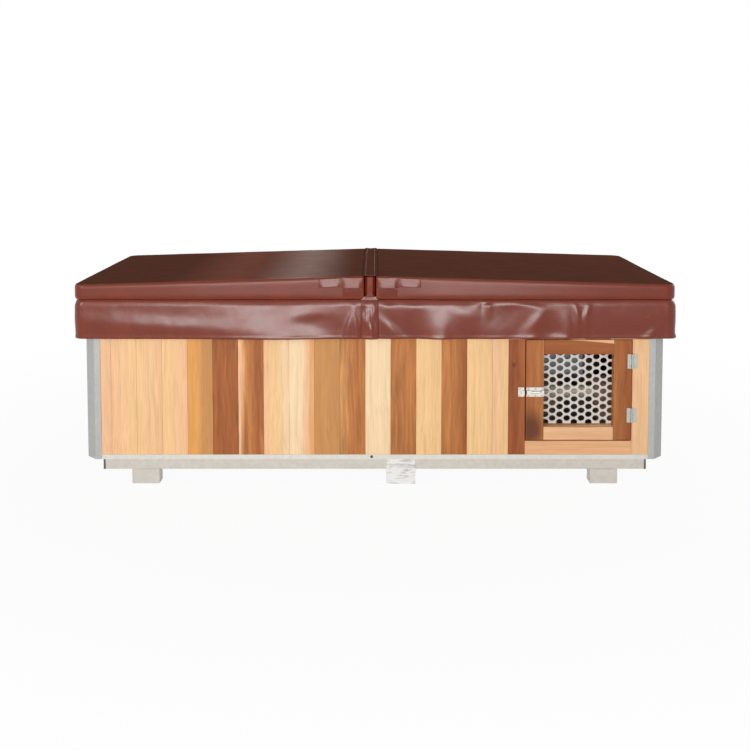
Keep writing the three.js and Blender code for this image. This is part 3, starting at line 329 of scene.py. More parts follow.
def cedar(name, stops, left=None, width=None, along="Z", knots=(), tilt=None, figure=0.1):
    material, tree, surface, place = new_material(name)
    wander = add_node(tree, "ShaderNodeTexNoise", {"Vector": place, "Scale": 1 / (260 * MM), "Detail": 1})
    bowed = add_node(tree, "ShaderNodeVectorMath", {
        0: wander.outputs["Color"], 1: [28 * MM] * 3, 2: place}, operation="MULTIPLY_ADD")
    patterns = {}
    for kind, across, run, detail in CEDAR_PATTERNS:
        spread = [1 / (across * MM)] * 3
        spread["XYZ".index(along)] = 1 / (run * MM)
        drawn = add_node(tree, "ShaderNodeVectorMath", {0: bowed, 1: spread}, operation="MULTIPLY")
        patterns[kind] = add_node(
            tree, "ShaderNodeTexNoise", {"Vector": drawn, "Scale": 1.0, "Detail": detail, "Roughness": 0.6})
    if width is None:
        band = add_node(
            tree, "ShaderNodeMapRange", {"Value": patterns["bands"], "From Min": 0.3, "From Max": 0.7})
    else:
        parts = add_node(tree, "ShaderNodeSeparateXYZ", {0: place})
        share = add_node(tree, "ShaderNodeMapRange", {
            "Value": parts.outputs["Z" if along == "X" else "X"], "From Min": left, "From Max": left + width})
        sway = add_node(tree, "ShaderNodeMapRange", {
            "Value": patterns["bands"], "From Min": 0.25, "From Max": 0.75, "To Min": -0.16, "To Max": 0.16})
        band = add_node(tree, "ShaderNodeMath", {0: share, 1: sway}, operation="ADD")
        if tilt:
            start, end, rise = tilt
            lean = add_node(tree, "ShaderNodeMapRange", {
                "Value": parts.outputs[along], "From Min": start, "From Max": end,
                "To Min": -rise, "To Max": rise})
            band = add_node(tree, "ShaderNodeMath", {0: band, 1: lean}, operation="ADD")
    wood = add_node(tree, "ShaderNodeValToRGB", {"Fac": band}, stops)
    streak = add_node(tree, "ShaderNodeMapRange", {
        "Value": patterns["figure"], "From Min": 0.3, "From Max": 0.7,
        "To Min": 1 - 0.8 * figure, "To Max": 1 + 0.6 * figure})
    wood = add_node(tree, "ShaderNodeMix", {0: 1.0, 6: wood, 7: streak},
                    data_type="RGBA", blend_type="MULTIPLY").outputs[2]
    late = add_node(tree, "ShaderNodeMapRange", {
        "Value": patterns["lines"], "From Min": 0.45, "From Max": 0.75, "To Max": 0.45})
    shade = add_node(tree, "ShaderNodeMix", {0: late, 6: wood, 7: (0.72, 0.58, 0.46, 1)},
                     data_type="RGBA", blend_type="MULTIPLY").outputs[2]
    for x, z, radius in knots:
        offset = add_node(tree, "ShaderNodeVectorMath", {
            0: place, 1: (x * MM, 0, z * MM)}, operation="SUBTRACT")
        shrunk = add_node(tree, "ShaderNodeVectorMath", {
            0: offset, 1: (1 / (radius * MM), 0, 0.7 / (radius * MM))}, operation="MULTIPLY")
        reach = add_node(tree, "ShaderNodeVectorMath", {0: shrunk}, operation="LENGTH").outputs["Value"]
        spot = add_node(tree, "ShaderNodeMapRange", {
            "Value": reach, "From Min": 0.5, "From Max": 1.5, "To Min": 0.9, "To Max": 0.0})
        shade = add_node(tree, "ShaderNodeMix", {0: spot, 6: shade, 7: tone("knot")},
                         data_type="RGBA").outputs[2]
    rough = add_node(tree, "ShaderNodeMapRange", {"Value": patterns["lines"], "To Min": 0.45, "To Max": 0.65})
    relief = add_node(tree, "ShaderNodeBump", {
        "Height": patterns["pores"], "Strength": 0.5, "Distance": 0.15 * MM})
    connect(tree, surface, {
        "Base Color": shade, "Roughness": rough, "Normal": relief, "Specular IOR Level": 0.3})
    return material


def even_stops(names):
    return [(index / (len(names) - 1), tone(name)) for index, name in enumerate(names)]


# Zinc-coated, folded and plated steel: a dulled metal whose faint spangle or brushing breaks up the sheen
def metal(name, shade, metallic=0.6, roughness=0.42, spangle=14, brush=(6, 6, 220)):
    material, tree, surface, place = new_material(name)
    crystals = add_node(tree, "ShaderNodeTexVoronoi", {"Vector": place, "Scale": 1 / (spangle * MM)})
    drawn = add_node(tree, "ShaderNodeVectorMath", {
        0: place, 1: [1 / (side * MM) for side in brush]}, operation="MULTIPLY")
    streaks = add_node(tree, "ShaderNodeTexNoise", {"Vector": drawn, "Scale": 1.0, "Detail": 3})
    grey = add_node(tree, "ShaderNodeMapRange", {
        "Value": crystals.outputs["Color"], "To Min": 0.93, "To Max": 1.04})
    base = add_node(tree, "ShaderNodeMix", {0: 1.0, 6: tone(shade), 7: grey},
                    data_type="RGBA", blend_type="MULTIPLY").outputs[2]
    rough = add_node(tree, "ShaderNodeMapRange", {
        "Value": streaks, "From Min": 0.3, "From Max": 0.7,
        "To Min": roughness - 0.06, "To Max": roughness + 0.08})
    relief = add_node(tree, "ShaderNodeBump", {"Height": streaks, "Strength": 0.15, "Distance": 0.1 * MM})
    connect(tree, surface, {"Base Color": base, "Roughness": rough, "Normal": relief, "Metallic": metallic})
    return material


# White-coated steel that was dragged and knocked: a satin coat over shallow dents, with soft grey patches that
# are partly scuffs and partly painted shade in its creases
def scuffed_coat_with_painted_shade(name, shade, scuff_and_shade, scuff_and_shade_size=(48, 48, 13)):
    material, tree, surface, place = new_material(name)
    level = add_node(tree, "ShaderNodeVectorMath", {
        0: place, 1: [1 / (side * MM) for side in scuff_and_shade_size]}, operation="MULTIPLY")
    scuff_and_shade_pattern = add_node(tree, "ShaderNodeTexNoise", {
        "Vector": level, "Scale": 1.0, "Detail": 2, "Distortion": 0.6})
    # Grey patches: scuffs, and painted shade in the creases
    wear_and_painted_light = add_node(tree, "ShaderNodeMapRange", {
        "Value": scuff_and_shade_pattern, "From Min": 0.46, "From Max": 0.68, "To Max": 0.75})
    base = add_node(tree, "ShaderNodeMix", {0: wear_and_painted_light, 6: tone(shade), 7: tone(scuff_and_shade)},
                    data_type="RGBA").outputs[2]
    rough = add_node(tree, "ShaderNodeMapRange", {"Value": scuff_and_shade_pattern, "To Min": 0.25, "To Max": 0.5})
    dents = add_node(tree, "ShaderNodeBump", {"Height": scuff_and_shade_pattern, "Strength": 0.6, "Distance": 2 * MM})
    connect(tree, surface, {"Base Color": base, "Roughness": rough, "Normal": dents})
    return material


# Reinforced marine vinyl: an embossed leather grain, drawn at 4 mm so that it shows, with soft mottling
# and a broken sheen. Patches of painted sheen cross it, paler tones that stand in for reflections: middle,
# half width, tone and strength.
def vinyl(name, shade, roughness, specular, sheen_patches=()):
    material, tree, surface, place = new_material(name)
    grain = add_node(tree, "ShaderNodeTexVoronoi", {"Vector": place, "Scale": 1 / (4 * MM)},
                     feature="SMOOTH_F1")
    mottle = add_node(tree, "ShaderNodeTexNoise", {"Vector": place, "Scale": 1 / (70 * MM), "Detail": 2})
    dark = add_node(tree, "ShaderNodeMapRange", {
        "Value": mottle, "From Min": 0.35, "From Max": 0.65, "To Min": 0.94, "To Max": 1.04})
    wear_and_painted_light = tone(shade)
    across = add_node(tree, "ShaderNodeSeparateXYZ", {0: place}).outputs["X"]
    # Each patch mixes a paler tone into the colour where the top shows a sheen: a painted reflection
    for centre, half, sheen_tone, strength in sheen_patches:
        away = add_node(tree, "ShaderNodeMath", {0: across, 1: centre}, operation="SUBTRACT")
        away = add_node(tree, "ShaderNodeMath", {0: away}, operation="ABSOLUTE")
        share = add_node(tree, "ShaderNodeMapRange", {
            "Value": away, "From Max": half, "To Min": strength, "To Max": 0.0},
            interpolation_type="SMOOTHSTEP")
        wear_and_painted_light = add_node(tree, "ShaderNodeMix", {0: share, 6: wear_and_painted_light, 7: tone(sheen_tone)},
                        data_type="RGBA").outputs[2]
    base = add_node(tree, "ShaderNodeMix", {0: 1.0, 6: wear_and_painted_light, 7: dark},
                    data_type="RGBA", blend_type="MULTIPLY").outputs[2]
    rough = add_node(tree, "ShaderNodeMapRange", {
        "Value": mottle, "From Min": 0.3, "From Max": 0.7,
        "To Min": roughness - 0.02, "To Max": roughness + 0.03})
    relief = add_node(tree, "ShaderNodeBump", {"Height": grain, "Strength": 0.12, "Distance": 0.3 * MM})
    connect(tree, surface, {
        "Base Color": base, "Roughness": rough, "Normal": relief, "Specular IOR Level": specular})
    return material


# Moulded plastics, gel coat, enamel and foam: an even colour with faint flow marks and a fine moulded texture
def moulded(name, shade, roughness=0.4, texture=1.5, relief_mm=0.05, coat=0.0):
    material, tree, surface, place = new_material(name)
    flow = add_node(tree, "ShaderNodeTexNoise", {"Vector": place, "Scale": 1 / (90 * MM), "Detail": 3})
    pits = add_node(tree, "ShaderNodeTexNoise", {"Vector": place, "Scale": 1 / (texture * MM), "Detail": 2})
    even = add_node(tree, "ShaderNodeMapRange", {"Value": flow, "To Min": 0.92, "To Max": 1.06})
    base = add_node(tree, "ShaderNodeMix", {0: 1.0, 6: tone(shade), 7: even},
                    data_type="RGBA", blend_type="MULTIPLY").outputs[2]
    rough = add_node(tree, "ShaderNodeMapRange", {
        "Value": flow, "To Min": roughness - 0.05, "To Max": roughness + 0.05})
    relief = add_node(tree, "ShaderNodeBump", {"Height": pits, "Strength": 0.3, "Distance": relief_mm * MM})
    connect(tree, surface, {
        "Base Color": base, "Roughness": rough, "Normal": relief,
        "Coat Weight": coat, "Coat Roughness": 0.08})
    return material


# Modelling

def select_parts(piece, mode, test):
    """In edit mode, selects only the vertices, edges or faces whose corner points pass the test."""
    bpy.ops.mesh.select_mode(type=mode)
    bpy.ops.mesh.select_all(action="DESELECT")
    bpy.ops.object.mode_set(mode="OBJECT")
    mesh = piece.data
    parts = {"VERT": mesh.vertices, "EDGE": mesh.edges, "FACE": mesh.polygons}[mode]
    for part in parts:
        corners = [part.index] if mode == "VERT" else part.vertices
        part.select = bool(test([mesh.vertices[corner].co for corner in corners]))
    bpy.ops.object.mode_set(mode="EDIT")


def make_active(piece):
    bpy.ops.object.select_all(action="DESELECT")
    bpy.context.view_layer.objects.active = piece
    piece.select_set(True)


def named(name):
    """Names the object just added and puts its place into its mesh."""
    piece = bpy.context.object
    piece.name = name
    piece.data.name = name
    bpy.ops.object.transform_apply(location=True, rotation=True, scale=True)
    return piece


def add_block(name, low, high):
    low, high = Vector(low), Vector(high)
    bpy.ops.object.select_all(action="DESELECT")
    bpy.ops.mesh.primitive_cube_add(size=1, location=(low + high) / 2, scale=high - low)
    return named(name)


def add_rod(name, middle, radius, depth, axis="Y", sides=32):
    turn = {"X": (0, math.pi / 2, 0), "Y": (math.pi / 2, 0, 0), "Z": (0, 0, 0)}[axis]
    bpy.ops.object.select_all(action="DESELECT")
    bpy.ops.mesh.primitive_cylinder_add(
        vertices=sides, radius=radius, depth=depth, location=middle, rotation=turn)
    return named(name)


def add_grid(name, columns, rows, shape):
    """A grid of faces whose points are placed by shape(u, v), with u and v from 0 to 1."""
    bpy.ops.object.select_all(action="DESELECT")
    bpy.ops.mesh.primitive_grid_add(size=1, x_subdivisions=columns, y_subdivisions=rows)
    piece = named(name)
    for vertex in piece.data.vertices:
        vertex.co = shape(vertex.co.x + 0.5, vertex.co.y + 0.5)
    return piece


def add_cloth(name, columns, rows, shape):
    """A sheet of vinyl with its thickness, whose outer face is placed by shape(u, v)."""
    piece = add_grid(name, columns, rows, shape)
    apply_modifier(piece, "SOLIDIFY", thickness=sizes().skirt_sheet, offset=-1)
    bpy.ops.object.shade_smooth()
    return piece


def push_out(piece, amount):
    """Moves each point of a piece along its normal by amount(place)."""
    normals = [vertex.normal.copy() for vertex in piece.data.vertices]
    for vertex, normal in zip(piece.data.vertices, normals):
        vertex.co += normal * amount(vertex.co)


def copy_piece(original, name, matrix):
    piece = original.copy()
    piece.data = original.data.copy()
    piece.name = name
    piece.data.name = name
    bpy.context.collection.objects.link(piece)
    piece.data.transform(matrix)
    return piece


def apply_modifier(piece, kind, **settings):
    make_active(piece)
    modifier = piece.modifiers.new(kind.lower(), kind)
    for key, value in settings.items():
        setattr(modifier, key, value)
    bpy.ops.object.modifier_apply(modifier=modifier.name)


def extrude(offset):
    bpy.ops.mesh.extrude_region_move(TRANSFORM_OT_translate={"value": offset})


def remesh(piece, voxel):
    piece.data.remesh_voxel_size = voxel
    make_active(piece)
    bpy.ops.object.voxel_remesh()


def cut(piece, cutter):
    apply_modifier(piece, "BOOLEAN", object=cutter, operation="DIFFERENCE", solver="EXACT")
    bpy.data.objects.remove(cutter)


def join(pieces):
    make_active(pieces[0])
    for piece in pieces[1:]:
        piece.select_set(True)
    bpy.ops.object.join()
    return pieces[0]


def smooth(piece, angle=35):
    make_active(piece)
    bpy.ops.object.shade_smooth_by_angle(angle=math.radians(angle))


def settle(piece, body, slot, *nodes, materials=()):
    """Gives a piece its finish, its body and the CAD nodes that it stands for."""
    if materials:
        piece.data.materials.clear()
    for material in materials:
        piece.data.materials.append(material)
    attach(piece, body)
    if nodes:
        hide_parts(*nodes)


def smooth_group():
    """Nodes that merge a CAD node's loose triangles and smooth its curved faces."""
    group = bpy.data.node_groups.get("merged_and_smooth")
    if group:
        return group
    group = bpy.data.node_groups.new("merged_and_smooth", "GeometryNodeTree")
    for side in ("INPUT", "OUTPUT"):
        group.interface.new_socket("Geometry", in_out=side, socket_type="NodeSocketGeometry")
    entry = add_node(group, "NodeGroupInput")
    merged = add_node(group, "GeometryNodeMergeByDistance", {"Geometry": entry, "Distance": 0.01 * MM})
    soft = add_node(group, "GeometryNodeSetShadeSmooth", {"Geometry": merged}, domain="FACE")
    angle = add_node(group, "GeometryNodeInputMeshEdgeAngle")
    gentle = add_node(group, "FunctionNodeCompare", {0: angle, 1: math.radians(32)},
                      data_type="FLOAT", operation="LESS_EQUAL")
    shaded = add_node(
        group, "GeometryNodeSetShadeSmooth", {"Geometry": soft, "Shade Smooth": gentle}, domain="EDGE")
    add_node(group, "NodeGroupOutput", {0: shaded})
    return group


def dress(names, material, edge=None):
    """Gives CAD nodes a finish, smooth curved faces and rounded edges over their own meshes."""
    for name in names:
        piece = frame["nodes"][name]
        for slot in piece.material_slots:
            slot.material = material
        piece.modifiers.new("merge", "NODES").node_group = smooth_group()
        flat = piece.modifiers.new("flat", "DECIMATE")
        flat.decimate_type = "DISSOLVE"
        flat.angle_limit = math.radians(1)
        rounded = piece.modifiers.new("edge", "BEVEL")
        rounded.width = sizes().edge if edge is None else edge
        rounded.segments = 2
        rounded.limit_method = "ANGLE"
        rounded.angle_limit = math.radians(38)
        rounded.harden_normals = True


def nodes_named(*starts):
    return [name for name in frame["nodes"] if name.startswith(starts)]


def corners(name):
    """The low and the high corner of a CAD node's box."""
    return [Vector(corner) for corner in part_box(name)]


def middle(name):
    low, high = corners(name)
    return (low + high) / 2


# Operators

class TUB_OT_stage(bpy.types.Operator):
    """Sets up the pale floor, the soft lights and the camera"""
    bl_idname = "tub.stage"
    bl_label = "Stage"

    def execute(self, context):
        scene = context.scene
        scene.view_settings.view_transform = "Standard"
        bpy.ops.object.select_all(action="DESELECT")
        bpy.ops.object.camera_add(location=CAMERA_PLACE, rotation=(math.radians(CAMERA_TILT), 0, 0))
        camera = context.object
        camera.name = "camera"
        camera.data.sensor_width = 36
        camera.data.lens = CAMERA_LENS
        camera.data.shift_y = CAMERA_SHIFT
        scene.camera = camera

        for name, (place, width, height, power) in LIGHTS.items():
            turn = (Vector(LIGHTS_AIM) - Vector(place)).to_track_quat("-Z", "Y").to_euler()
            bpy.ops.object.light_add(type="AREA", location=place, rotation=turn)
            lamp = context.object
            lamp.name = name
            lamp.data.shape = "RECTANGLE"
            lamp.data.size = width
            lamp.data.size_y = height
            lamp.data.energy = power

        # A white sky that the camera and reflections see, and a dimmer one that lights the object
        world = scene.world or bpy.data.worlds.new("studio")
        scene.world = world
        world.use_nodes = True
        tree = world.node_tree
        seen = self.seen(tree)
        bright = add_node(tree, "ShaderNodeMapRange", {"Value": seen, "To Min": 0.3, "To Max": 1.0})
        connect(tree, tree.nodes["Background"], {"Color": (1, 1, 1, 1), "Strength": bright})

        bpy.ops.mesh.primitive_circle_add(vertices=96, radius=30, fill_type="NGON")
        floor = named("floor")
        floor.data.materials.append(self.floor_finish())
        return {"FINISHED"}

    def seen(self, tree):
        """1 for rays from the camera and in reflections and glass, else 0."""
        path = add_node(tree, "ShaderNodeLightPath")
        total = path.outputs["Is Camera Ray"]
        for kind in ("Is Glossy Ray", "Is Transmission Ray"):
            total = add_node(tree, "ShaderNodeMath", {
                0: total, 1: path.outputs[kind]}, operation="MAXIMUM").outputs[0]
        return total

    def floor_finish(self):
        """Matt painted floor, which fades to white away from the object and keeps its shadow."""
        material, tree, surface, place = new_material("painted_floor")
        grain = add_node(tree, "ShaderNodeTexNoise", {"Vector": place, "Scale": 1 / (4 * MM), "Detail": 2})
        relief = add_node(tree, "ShaderNodeBump", {"Height": grain, "Strength": 0.05, "Distance": 0.1 * MM})
        connect(tree, surface, {
            "Base Color": tone("floor"), "Roughness": 0.8, "Normal": relief, "Specular IOR Level": 0.1})
        away = add_node(tree, "ShaderNodeVectorMath", {0: place}, operation="LENGTH").outputs["Value"]
        fade = add_node(tree, "ShaderNodeMapRange", {
            "Value": away, "From Min": 1.3, "From Max": 3.0, "To Min": 0.94, "To Max": 1.0})
        seen = add_node(tree, "ShaderNodeMath", {0: fade, 1: self.seen(tree)}, operation="MULTIPLY")
        white = add_node(tree, "ShaderNodeEmission", {"Color": (1, 1, 1, 1), "Strength": 1.0})
        blend = add_node(tree, "ShaderNodeMixShader", {0: seen, 1: surface, 2: white})
        tree.links.new(blend.outputs[0], tree.nodes["Material Output"].inputs["Surface"])
        return material


class TUB_OT_metalwork(bpy.types.Operator):
    """Finishes the corner posts, base rails, skids and floor pan"""
    bl_idname = "tub.metalwork"
    bl_label = "Posts and base"

    def execute(self, context):
        edge = 1.2 * MM
        dress(nodes_named("corner_post"), metal("galvanised_posts", "galvanised", 0.25), edge)
        dress(nodes_named("base_rail"), metal("galvanised_rails", "rail", 0.3, brush=(220, 6, 6)), edge)
        dress(["skid_left", "skid_right"], metal("galvanised_skids", "rail", 0.3, brush=(6, 220, 6)), edge)
        dress(["skid_centre"], scuffed_coat_with_painted_shade("white_coated_skid", "white_coat", "coat_scuff_and_crease_shade"), edge)
        dress(["floor_pan"], metal("folded_aluminium", "bright", 0.3, 0.4, brush=(220, 6, 6)), 0.8 * MM)
        self.end_caps()
        return {"FINISHED"}

    def end_caps(self):
        """Plastic caps on the ends of the base rails, whose lips turn round onto the rails' outer faces."""
        size = sizes()
        low, high = corners("base_rail_front")
        cap = add_block("cap_model", (low.x - size.cap, low.y - MM, low.z), (low.x - SEAT, high.y, high.z))
        bpy.ops.object.mode_set(mode="EDIT")
        bpy.ops.mesh.select_all(action="SELECT")
        bpy.ops.mesh.bisect(plane_co=(0, low.y - SEAT, 0), plane_no=(0, 1, 0))
        select_parts(cap, "FACE", lambda points: all(point.x > low.x - 2 * SEAT for point in points)
                     and all(point.y < low.y for point in points))
        extrude((size.cap_lip, 0, 0))
        bpy.ops.object.mode_set(mode="OBJECT")
        apply_modifier(cap, "BEVEL", width=0.3 * MM, segments=2, limit_method="ANGLE")
        smooth(cap)
        plastic = moulded("moulded_cap_plastic", "cap_grey", 0.5)
        centre = (middle("base_rail_front") + middle("base_rail_rear")) / 2
        centre.z = (low.z + high.z) / 2
        turns = {
            "front_left": Matrix.Identity(4),
            "rear_right": Matrix.Rotation(math.pi, 4, "Z"),
            "front_right": Matrix.Rotation(math.pi, 4, "Y"),
            "rear_left": Matrix.Rotation(math.pi, 4, "X"),
        }
        for name, turn in turns.items():
            matrix = Matrix.Translation(centre) @ turn @ Matrix.Translation(-centre)
            placed = copy_piece(cap, f"rail_cap_{name}", matrix)
            settle(placed, "cabinet", "black_plastic", materials=[plastic])
        bpy.data.objects.remove(cap)


class TUB_OT_boards(bpy.types.Operator):
    """Models the tongue-and-groove boards of the four sides"""
    bl_idname = "tub.boards"
    bl_label = "Boards"

    def execute(self, context):
        self.models = {}
        self.front()
        for side, turn, offset in (("rear", 180, 0), ("left", -90, 2), ("right", 90, 5)):
            self.plain_side(side, turn, offset)
        for model in self.models.values():
            bpy.data.objects.remove(model)
        return {"FINISHED"}

    def model(self, width, bottom, top):
        """A board with its face at y 0 and its left edge at x 0, made once for each size."""
        key = tuple(round(value, 5) for value in (width, bottom, top))
        if key not in self.models:
            self.models[key] = self.add_board(width, bottom, top)
        return self.models[key]

    def add_board(self, width, bottom, top):
        size = sizes()
        low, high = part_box("rear_cladding")
        thick = high[1] - low[1]
        left, right = size.board_gap / 2, width - size.board_gap / 2
        start, end = (thick - size.tongue) / 2, (thick + size.tongue) / 2
        board = add_block("board_model", (left, 0, bottom), (right, thick, top))
        bpy.ops.object.mode_set(mode="EDIT")
        for depth in (start, end):
            bpy.ops.mesh.select_all(action="SELECT")
            bpy.ops.mesh.bisect(plane_co=(0, depth, 0), plane_no=(0, 1, 0))

        def in_strip(points, x):
            return all(abs(point.x - x) < SEAT and start - SEAT < point.y < end + SEAT for point in points)

        select_parts(board, "FACE", lambda points: in_strip(points, right))
        extrude((size.tongue, 0, 0))
        select_parts(board, "FACE", lambda points: in_strip(points, left))
        extrude((size.tongue + 2 * SEAT, 0, 0))
        select_parts(board, "EDGE", lambda points: all(point.y < SEAT for point in points)
                     and abs(points[0].x - points[1].x) < SEAT)
        bpy.ops.mesh.bevel(offset=size.board_chamfer, segments=2, affect="EDGES")
        bpy.ops.object.mode_set(mode="OBJECT")
        smooth(board)
        return board

    def place(self, name, model, matrix, material, node):
        board = copy_piece(model, name, matrix)
        settle(board, "cabinet", "cedar", node, materials=[material])
        return board

    def front(self):
        size = sizes()
        low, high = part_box("front_cladding")
        jamb_low, jamb_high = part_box("door_jamb_left")
        right = jamb_low[0] - SEAT
        joints = [right, right - size.last_board]
        while joints[-1] - size.board_pitch > low[0]:
            joints.append(joints[-1] - size.board_pitch)
        joints = [low[0]] + joints[::-1]
        for index, tones in enumerate(FRONT_TONES):
            left, width = joints[index], joints[index + 1] - joints[index]
            name = f"front_board_{index + 1:02d}"
            knots = BOARD_KNOTS.get(index + 1, ())
            figure = 0.4 if {"brown", "russet"} & set(tones) else 0.1
            wood = cedar("cedar_" + name, even_stops(tones), left, width, knots=knots, figure=figure)
            model = self.model(width, low[2], high[2])
            self.place(name, model, Matrix.Translation((left, low[1], 0)), wood, "front_cladding")
        left, index = right, 0
        while left < high[0] - SEAT:
            end = min(left + size.board_pitch, high[0])
            tones = OTHER_TONES[index % len(OTHER_TONES)]
            name = f"head_board_{index + 1}"
            model = self.model(end - left, jamb_high[2] + SEAT, high[2])
            wood = cedar("cedar_" + name, even_stops(tones))
            self.place(name, model, Matrix.Translation((left, low[1], 0)), wood, "front_cladding")
            left, index = end, index + 1

    def plain_side(self, side, turn, offset):
        size = sizes()
        node = f"{side}_cladding"
        low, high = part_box(node)
        half = max(high[0] - low[0], high[1] - low[1]) / 2
        count = int((half - size.board_pitch / 2) / size.board_pitch) + 1
        joints = [-half] + [(k - 0.5) * size.board_pitch for k in range(1 - count, count + 1)] + [half]
        depth = middle(node).y
        spot = {"rear": (0, high[1], 0), "left": (low[0], depth, 0), "right": (high[0], depth, 0)}
        frame_turn = Matrix.Translation(spot[side]) @ Matrix.Rotation(math.radians(turn), 4, "Z")
        gland = middle("power_gland")
        for index in range(len(joints) - 1):
            left, width = joints[index], joints[index + 1] - joints[index]
            tones = OTHER_TONES[(index * 3 + offset) % len(OTHER_TONES)]
            name = f"{side}_board_{index + 1:02d}"
            wood = cedar("cedar_" + name, even_stops(tones))
            matrix = frame_turn @ Matrix.Translation((left, 0, 0))
            board = self.place(name, self.model(width, low[2], high[2]), matrix, wood, node)
            if side == "rear" and left < -gland.x < left + width:
                radius = size.gland_hole / 2
                cut(board, add_rod("gland_hole", (gland.x, depth, gland.z), radius, 4 * size.tongue))


class TUB_OT_door(bpy.types.Operator):
    """Finishes the door frame and models the door's perforated plate"""
    bl_idname = "tub.door"
    bl_label = "Door"

    def execute(self, context):
        edge = 1.5 * MM
        upright = (
            ("door_jamb_left", ("umber", "umber", "russet"), ((535, 465, 6),)),
            ("door_jamb_right", ("peach", "honey"), ()),
            ("door_stile_left", ("russet", "brown"), ((604, 215, 42),)),
            ("door_stile_right", ("brown", "russet", "umber"), ()),
        )
        for name, tones, knots in upright:
            low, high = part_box(name)
            figure = 0.1 if "peach" in tones else 0.35
            width = high[0] - low[0]
            wood = cedar("cedar_" + name, even_stops(tones), low[0], width, knots=knots, figure=figure)
            dress([name], wood, edge)
        level = (
            ("door_top_rail", ((0, "umber"), (0.5, "russet"), (0.92, "russet"), (0.97, "peach")), 0.25),
            ("door_bottom_rail", ((0, "apricot"), (0.86, "peach"), (0.94, "tan")), 0),
            ("door_sill", ((0, "apricot"), (1, "apricot")), 0),
        )
        for name, tones, rise in level:
            low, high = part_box(name)
            stops = [(place, tone(shade)) for place, shade in tones]
            tilt = (low[0], high[0], rise)
            dress([name], cedar("cedar_" + name, stops, low[2], high[2] - low[2], "X", tilt=tilt), edge)
        self.grille()
        return {"FINISHED"}

    def grille(self):
        size = sizes()
        low, high = corners("door_grille")
        centre = (low + high) / 2
        radius = size.hole / 2
        reach_x = (high.x - low.x) / 2 - radius - size.hole_margin
        reach_z = (high.z - low.z) / 2 - radius - size.hole_margin
        columns = math.ceil(reach_x / size.hole_pitch_x)
        rows = math.ceil(reach_z / size.hole_pitch_z)
        punch = add_rod("punch", centre, radius, 4 * (high.y - low.y), sides=28)
        squeeze = Matrix.Diagonal((1, 1, size.hole_height / size.hole, 1))
        punch.data.transform(Matrix.Translation(centre) @ squeeze @ Matrix.Translation(-centre))
        punches = []
        for column in range(-columns, columns + 1):
            x = column * size.hole_pitch_x + size.hole_shift_x
            stagger = size.hole_pitch_z / 2 if column % 2 == 0 else 0
            for row in range(-rows, rows + 1):
                z = row * size.hole_pitch_z + stagger + size.hole_shift_z
                if abs(x) <= reach_x and abs(z) <= reach_z:
                    punches.append(copy_piece(punch, "punch_copy", Matrix.Translation((x, 0, z))))
        bpy.data.objects.remove(punch)
        plate = add_block("door_grille_plate", low, high)
        cut(plate, join(punches))
        apply_modifier(plate, "BEVEL", width=0.5 * MM, segments=2, limit_method="ANGLE")
        smooth(plate)
        settle(plate, "door", "grille", "door_grille",
               materials=[moulded("powder_coated_grille", "grille", 0.45, 0.9, 0.08)])


class TUB_OT_hardware(bpy.types.Operator):
    """Finishes the hinges and bolt and models their screws"""
    bl_idname = "tub.hardware"
    bl_label = "Hinges, bolt and screws"

    def execute(self, context):
        size = sizes()
        plated = metal("plated_steel", "plated", 0.7, 0.35, spangle=30, brush=(3, 3, 3))
        zinc = metal("bright_zinc", "zinc", 0.3, 0.35, spangle=30, brush=(3, 3, 3))
        dress(nodes_named("hinge"), plated, 0.5 * MM)
        dress(nodes_named("bolt"), zinc, 0.5 * MM)
        screw = self.screw()
        spots = []
        for level in ("upper", "lower"):
            leaf_low, leaf_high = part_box(f"hinge_{level}_door_leaf")
            frame_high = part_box(f"hinge_{level}_frame_leaf")[1]
            for number, share in ((1, -HINGE_SCREWS), (2, HINGE_SCREWS)):
                height = (leaf_low[2] + leaf_high[2]) / 2 + share * (leaf_high[2] - leaf_low[2])
                door_x, frame_x = leaf_low[0] + size.screw, frame_high[0] - size.screw
                spots.append((f"hinge_{level}_door_screw_{number}", "door", door_x, height))
                spots.append((f"hinge_{level}_frame_screw_{number}", "cabinet", frame_x, height))
        inset = size.screw * BOLT_SCREW_INSET
        for node, body, places in BOLT_SCREWS:
            low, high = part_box(node)
            for index, share in enumerate(places):
                across = low[0] + share * (high[0] - low[0])
                for side, height in enumerate((low[2] + inset, high[2] - inset)):
                    spots.append((f"{node}_screw_{index * 2 + side + 1}", body, across, height))
        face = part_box("bolt_base")[1][1] - size.leaf
        for name, body, x, z in spots:
            head = copy_piece(screw, name, Matrix.Translation((x, face, z)))
            settle(head, body, "hardware", materials=[plated])
        lip_low, lip_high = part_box("floor_pan")
        dull = metal("dull_plated_steel", "cap_grey", 0.5, 0.4, spangle=30, brush=(3, 3, 3))
        spot = Matrix.Translation((LIP_SCREW_X, lip_low[1], (lip_low[2] + lip_high[2]) / 2 + MM))
        head = copy_piece(screw, "lip_screw_front", spot @ Matrix.Scale(size.lip_screw / size.screw, 4))
        settle(head, "cabinet", "hardware", materials=[dull])
        bpy.data.objects.remove(screw)
        return {"FINISHED"}

    def screw(self):
        """A domed head with its socket, facing the front, seated at the origin."""
        size = sizes()
        proud = size.screw_proud
        head = add_rod("screw_model", (0, -proud / 2, 0), size.screw / 2, proud, sides=18)
        bpy.ops.object.mode_set(mode="EDIT")
        select_parts(head, "FACE", lambda points: all(point.y < -proud + SEAT for point in points))
        bpy.ops.mesh.bevel(offset=proud * 0.6, segments=3, affect="EDGES")
        select_parts(head, "FACE", lambda points: all(point.y < -proud + SEAT / 2 for point in points))
        bpy.ops.mesh.inset(thickness=size.screw * 0.14)
        extrude((0, proud * 0.6, 0))
        bpy.ops.object.mode_set(mode="OBJECT")
        smooth(head)
        return head


